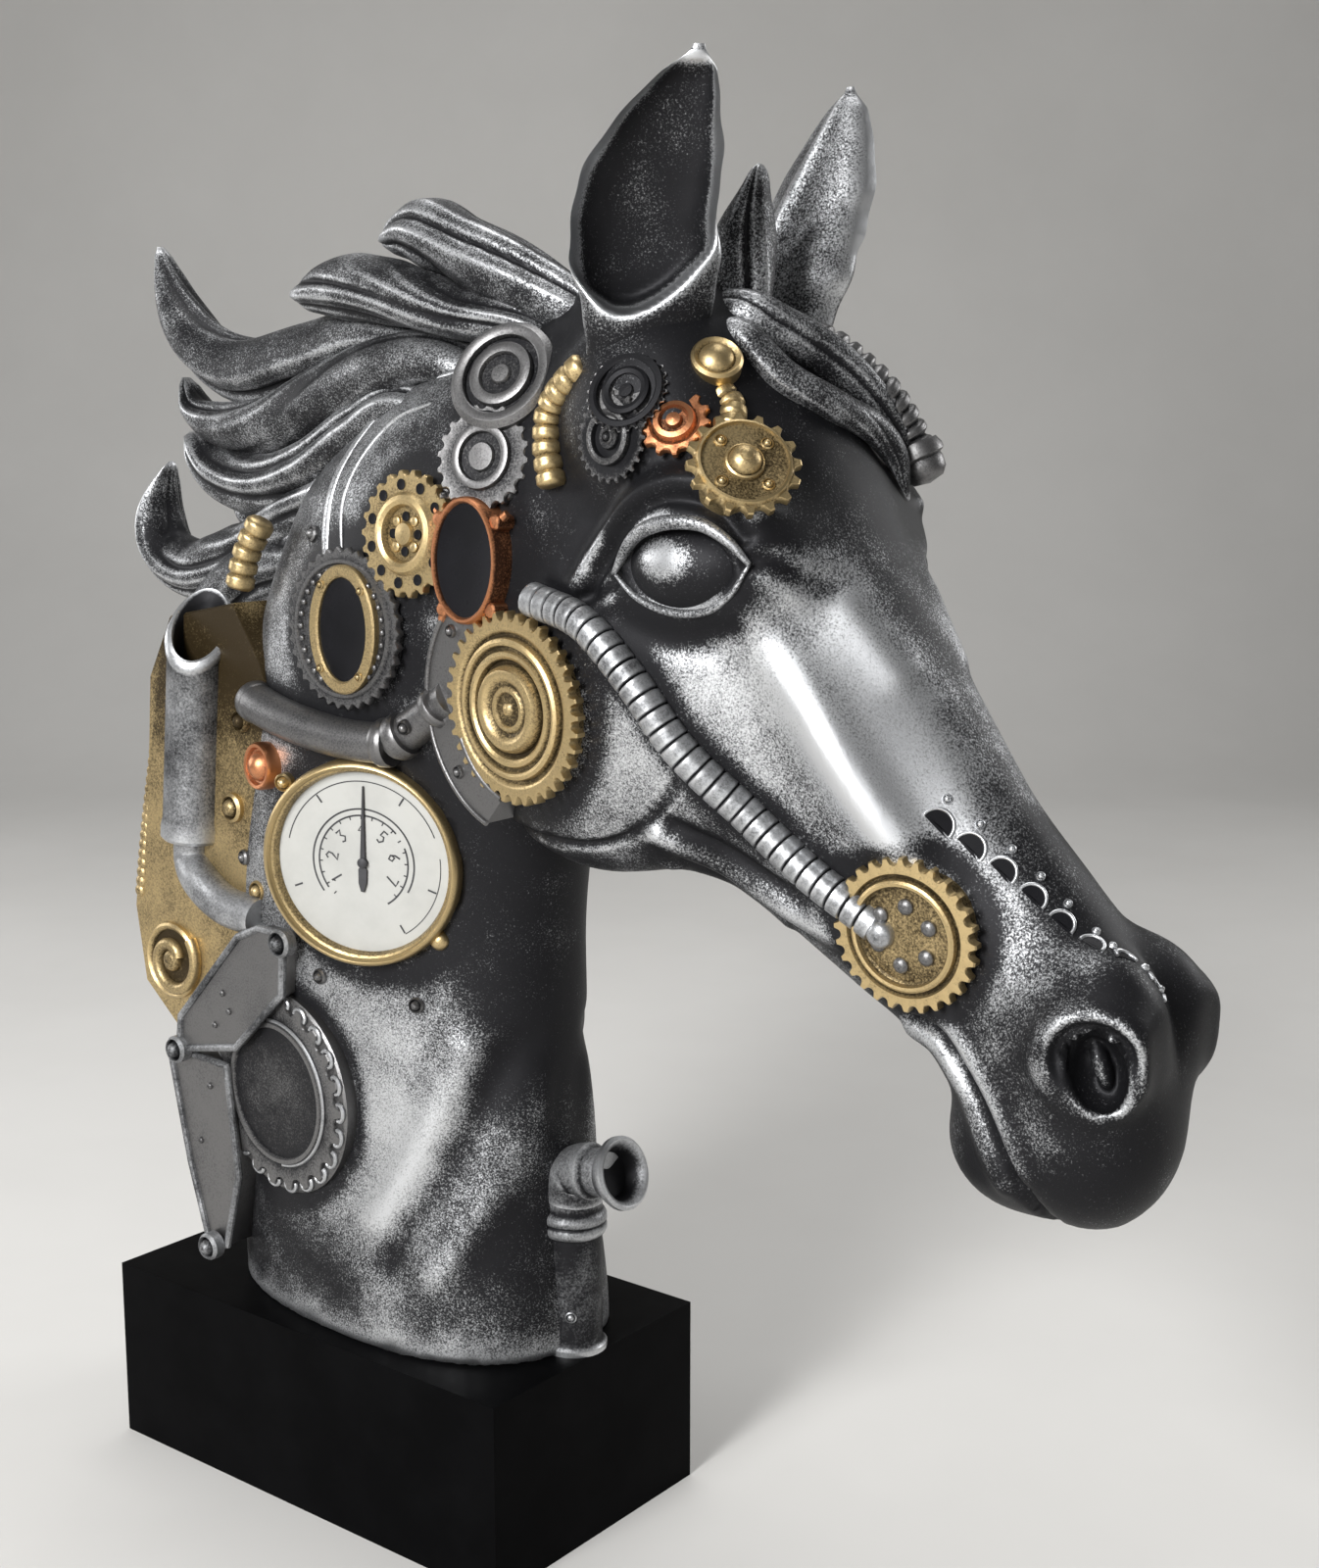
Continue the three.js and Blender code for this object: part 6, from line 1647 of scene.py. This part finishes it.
class HORSE_OT_stage(bpy.types.Operator):
    """Floor, backdrop, lights and camera"""

    bl_idname = "horse.stage"
    bl_label = "Studio"
    bl_options = {"REGISTER", "UNDO"}

    def execute(self, context):
        self.backdrop()
        self.lights()
        self.camera()
        return {"FINISHED"}

    @staticmethod
    def backdrop():
        away = Matrix.Rotation(math.radians(AZIMUTH), 4, "Z")
        line = [(-1.6, 0), (0.9, 0)]
        line += [(0.9 + 0.5 * math.sin(a), 0.5 - 0.5 * math.cos(a))
                 for a in np.linspace(0.1, math.pi / 2, 14)]
        line += [(1.4, 2.6)]
        points = [away @ Vector((x, y, z)) for y, z in line for x in (-3, 3)]
        faces = [(2 * i, 2 * i + 1, 2 * i + 3, 2 * i + 2) for i in range(len(line) - 1)]
        mesh = bpy.data.meshes.new("backdrop")
        mesh.from_pydata(points, [], faces)
        mesh.shade_smooth()
        mesh.materials.append(matte("Backdrop", (0.62, 0.61, 0.59), (0.58, 0.57, 0.55), 0.85, 3, 0.0))
        sheet = bpy.data.objects.new("backdrop", mesh)
        bpy.context.scene.collection.objects.link(sheet)

    @staticmethod
    def lights():
        rows = [
            ("key", (0.12, -1.0, 0.68), (0.08, -0.02, 0.17), 0.42, 14),
            ("face", (0.16, -1.05, 0.4), (0.13, -0.02, 0.17), 0.22, 4.5),
            ("front", (0.9, -0.75, 0.35), (0.1, 0.0, 0.17), 0.3, 0.9),
            ("top", (-0.1, 0.2, 1.1), (0.05, 0.0, 0.2), 0.6, 4.5),
            ("rim", (0.5, 0.8, 0.5), (0.1, 0.0, 0.17), 0.4, 3),
            ("left", (-0.9, -0.3, 0.4), (0.0, 0.0, 0.17), 0.4, 2.5),
        ]
        for name, place, aim, size, power in rows:
            lamp = bpy.data.lights.new(name, "AREA")
            lamp.shape = "DISK"
            lamp.size = size
            lamp.energy = power
            made = bpy.data.objects.new(name, lamp)
            made.location = place
            made.rotation_mode = "QUATERNION"
            made.rotation_quaternion = (Vector(aim) - Vector(place)).to_track_quat("-Z", "Y")
            bpy.context.scene.collection.objects.link(made)
        world = bpy.data.worlds.new("Studio")
        world.use_nodes = True
        world.node_tree.nodes["Background"].inputs["Color"].default_value = (0.62, 0.62, 0.62, 1)
        world.node_tree.nodes["Background"].inputs["Strength"].default_value = 0.2
        bpy.context.scene.world = world
        bpy.context.scene.view_settings.view_transform = "Standard"

    @staticmethod
    def camera():
        a, e = math.radians(AZIMUTH), math.radians(ELEVATION)
        back = Vector((math.sin(a) * math.cos(e), -math.cos(a) * math.cos(e), math.sin(e)))
        data = bpy.data.cameras.new("camera")
        data.sensor_width = 36
        data.lens = 47.25
        data.clip_start, data.clip_end = 0.01, 20
        made = bpy.data.objects.new("camera", data)
        made.location = CAMERA
        made.rotation_mode = "QUATERNION"
        made.rotation_quaternion = (-back).to_track_quat("-Z", "Y")
        bpy.context.scene.collection.objects.link(made)
        bpy.context.scene.camera = made


PIECES = [HORSE_OT_skin, HORSE_OT_ears, HORSE_OT_eyes, HORSE_OT_mane, HORSE_OT_cogs, HORSE_OT_hoses,
          HORSE_OT_pipes, HORSE_OT_ports, HORSE_OT_gauge, HORSE_OT_plates, HORSE_OT_trim, HORSE_OT_finish,
          HORSE_OT_stage]


class HORSE_PT_panel(bpy.types.Panel):
    """The sculpture's sizes, colours and pieces"""

    bl_idname = "HORSE_PT_panel"
    bl_label = "Steampunk horse"
    bl_space_type = "VIEW_3D"
    bl_region_type = "UI"
    bl_category = "Horse"

    def draw(self, context):
        for group in (context.scene.horse_sizes, context.scene.horse_colors):
            box = self.layout.box()
            for name in group.__annotations__:
                box.prop(group, name)
        for piece in PIECES:
            self.layout.operator(piece.bl_idname)


CLASSES = [HorseColors, HorseSizes, *PIECES, HORSE_PT_panel]


def register():
    for entry in CLASSES:
        bpy.utils.register_class(entry)
    bpy.types.Scene.horse_colors = bpy.props.PointerProperty(type=HorseColors)
    bpy.types.Scene.horse_sizes = bpy.props.PointerProperty(type=HorseSizes)


def unregister():
    del bpy.types.Scene.horse_sizes
    del bpy.types.Scene.horse_colors
    for entry in reversed(CLASSES):
        bpy.utils.unregister_class(entry)


def main():
    """Builds everything in order."""
    register()
    for piece in PIECES:
        group, name = piece.bl_idname.split(".")
        getattr(getattr(bpy.ops, group), name)()


if __name__ == "__main__":
    main()
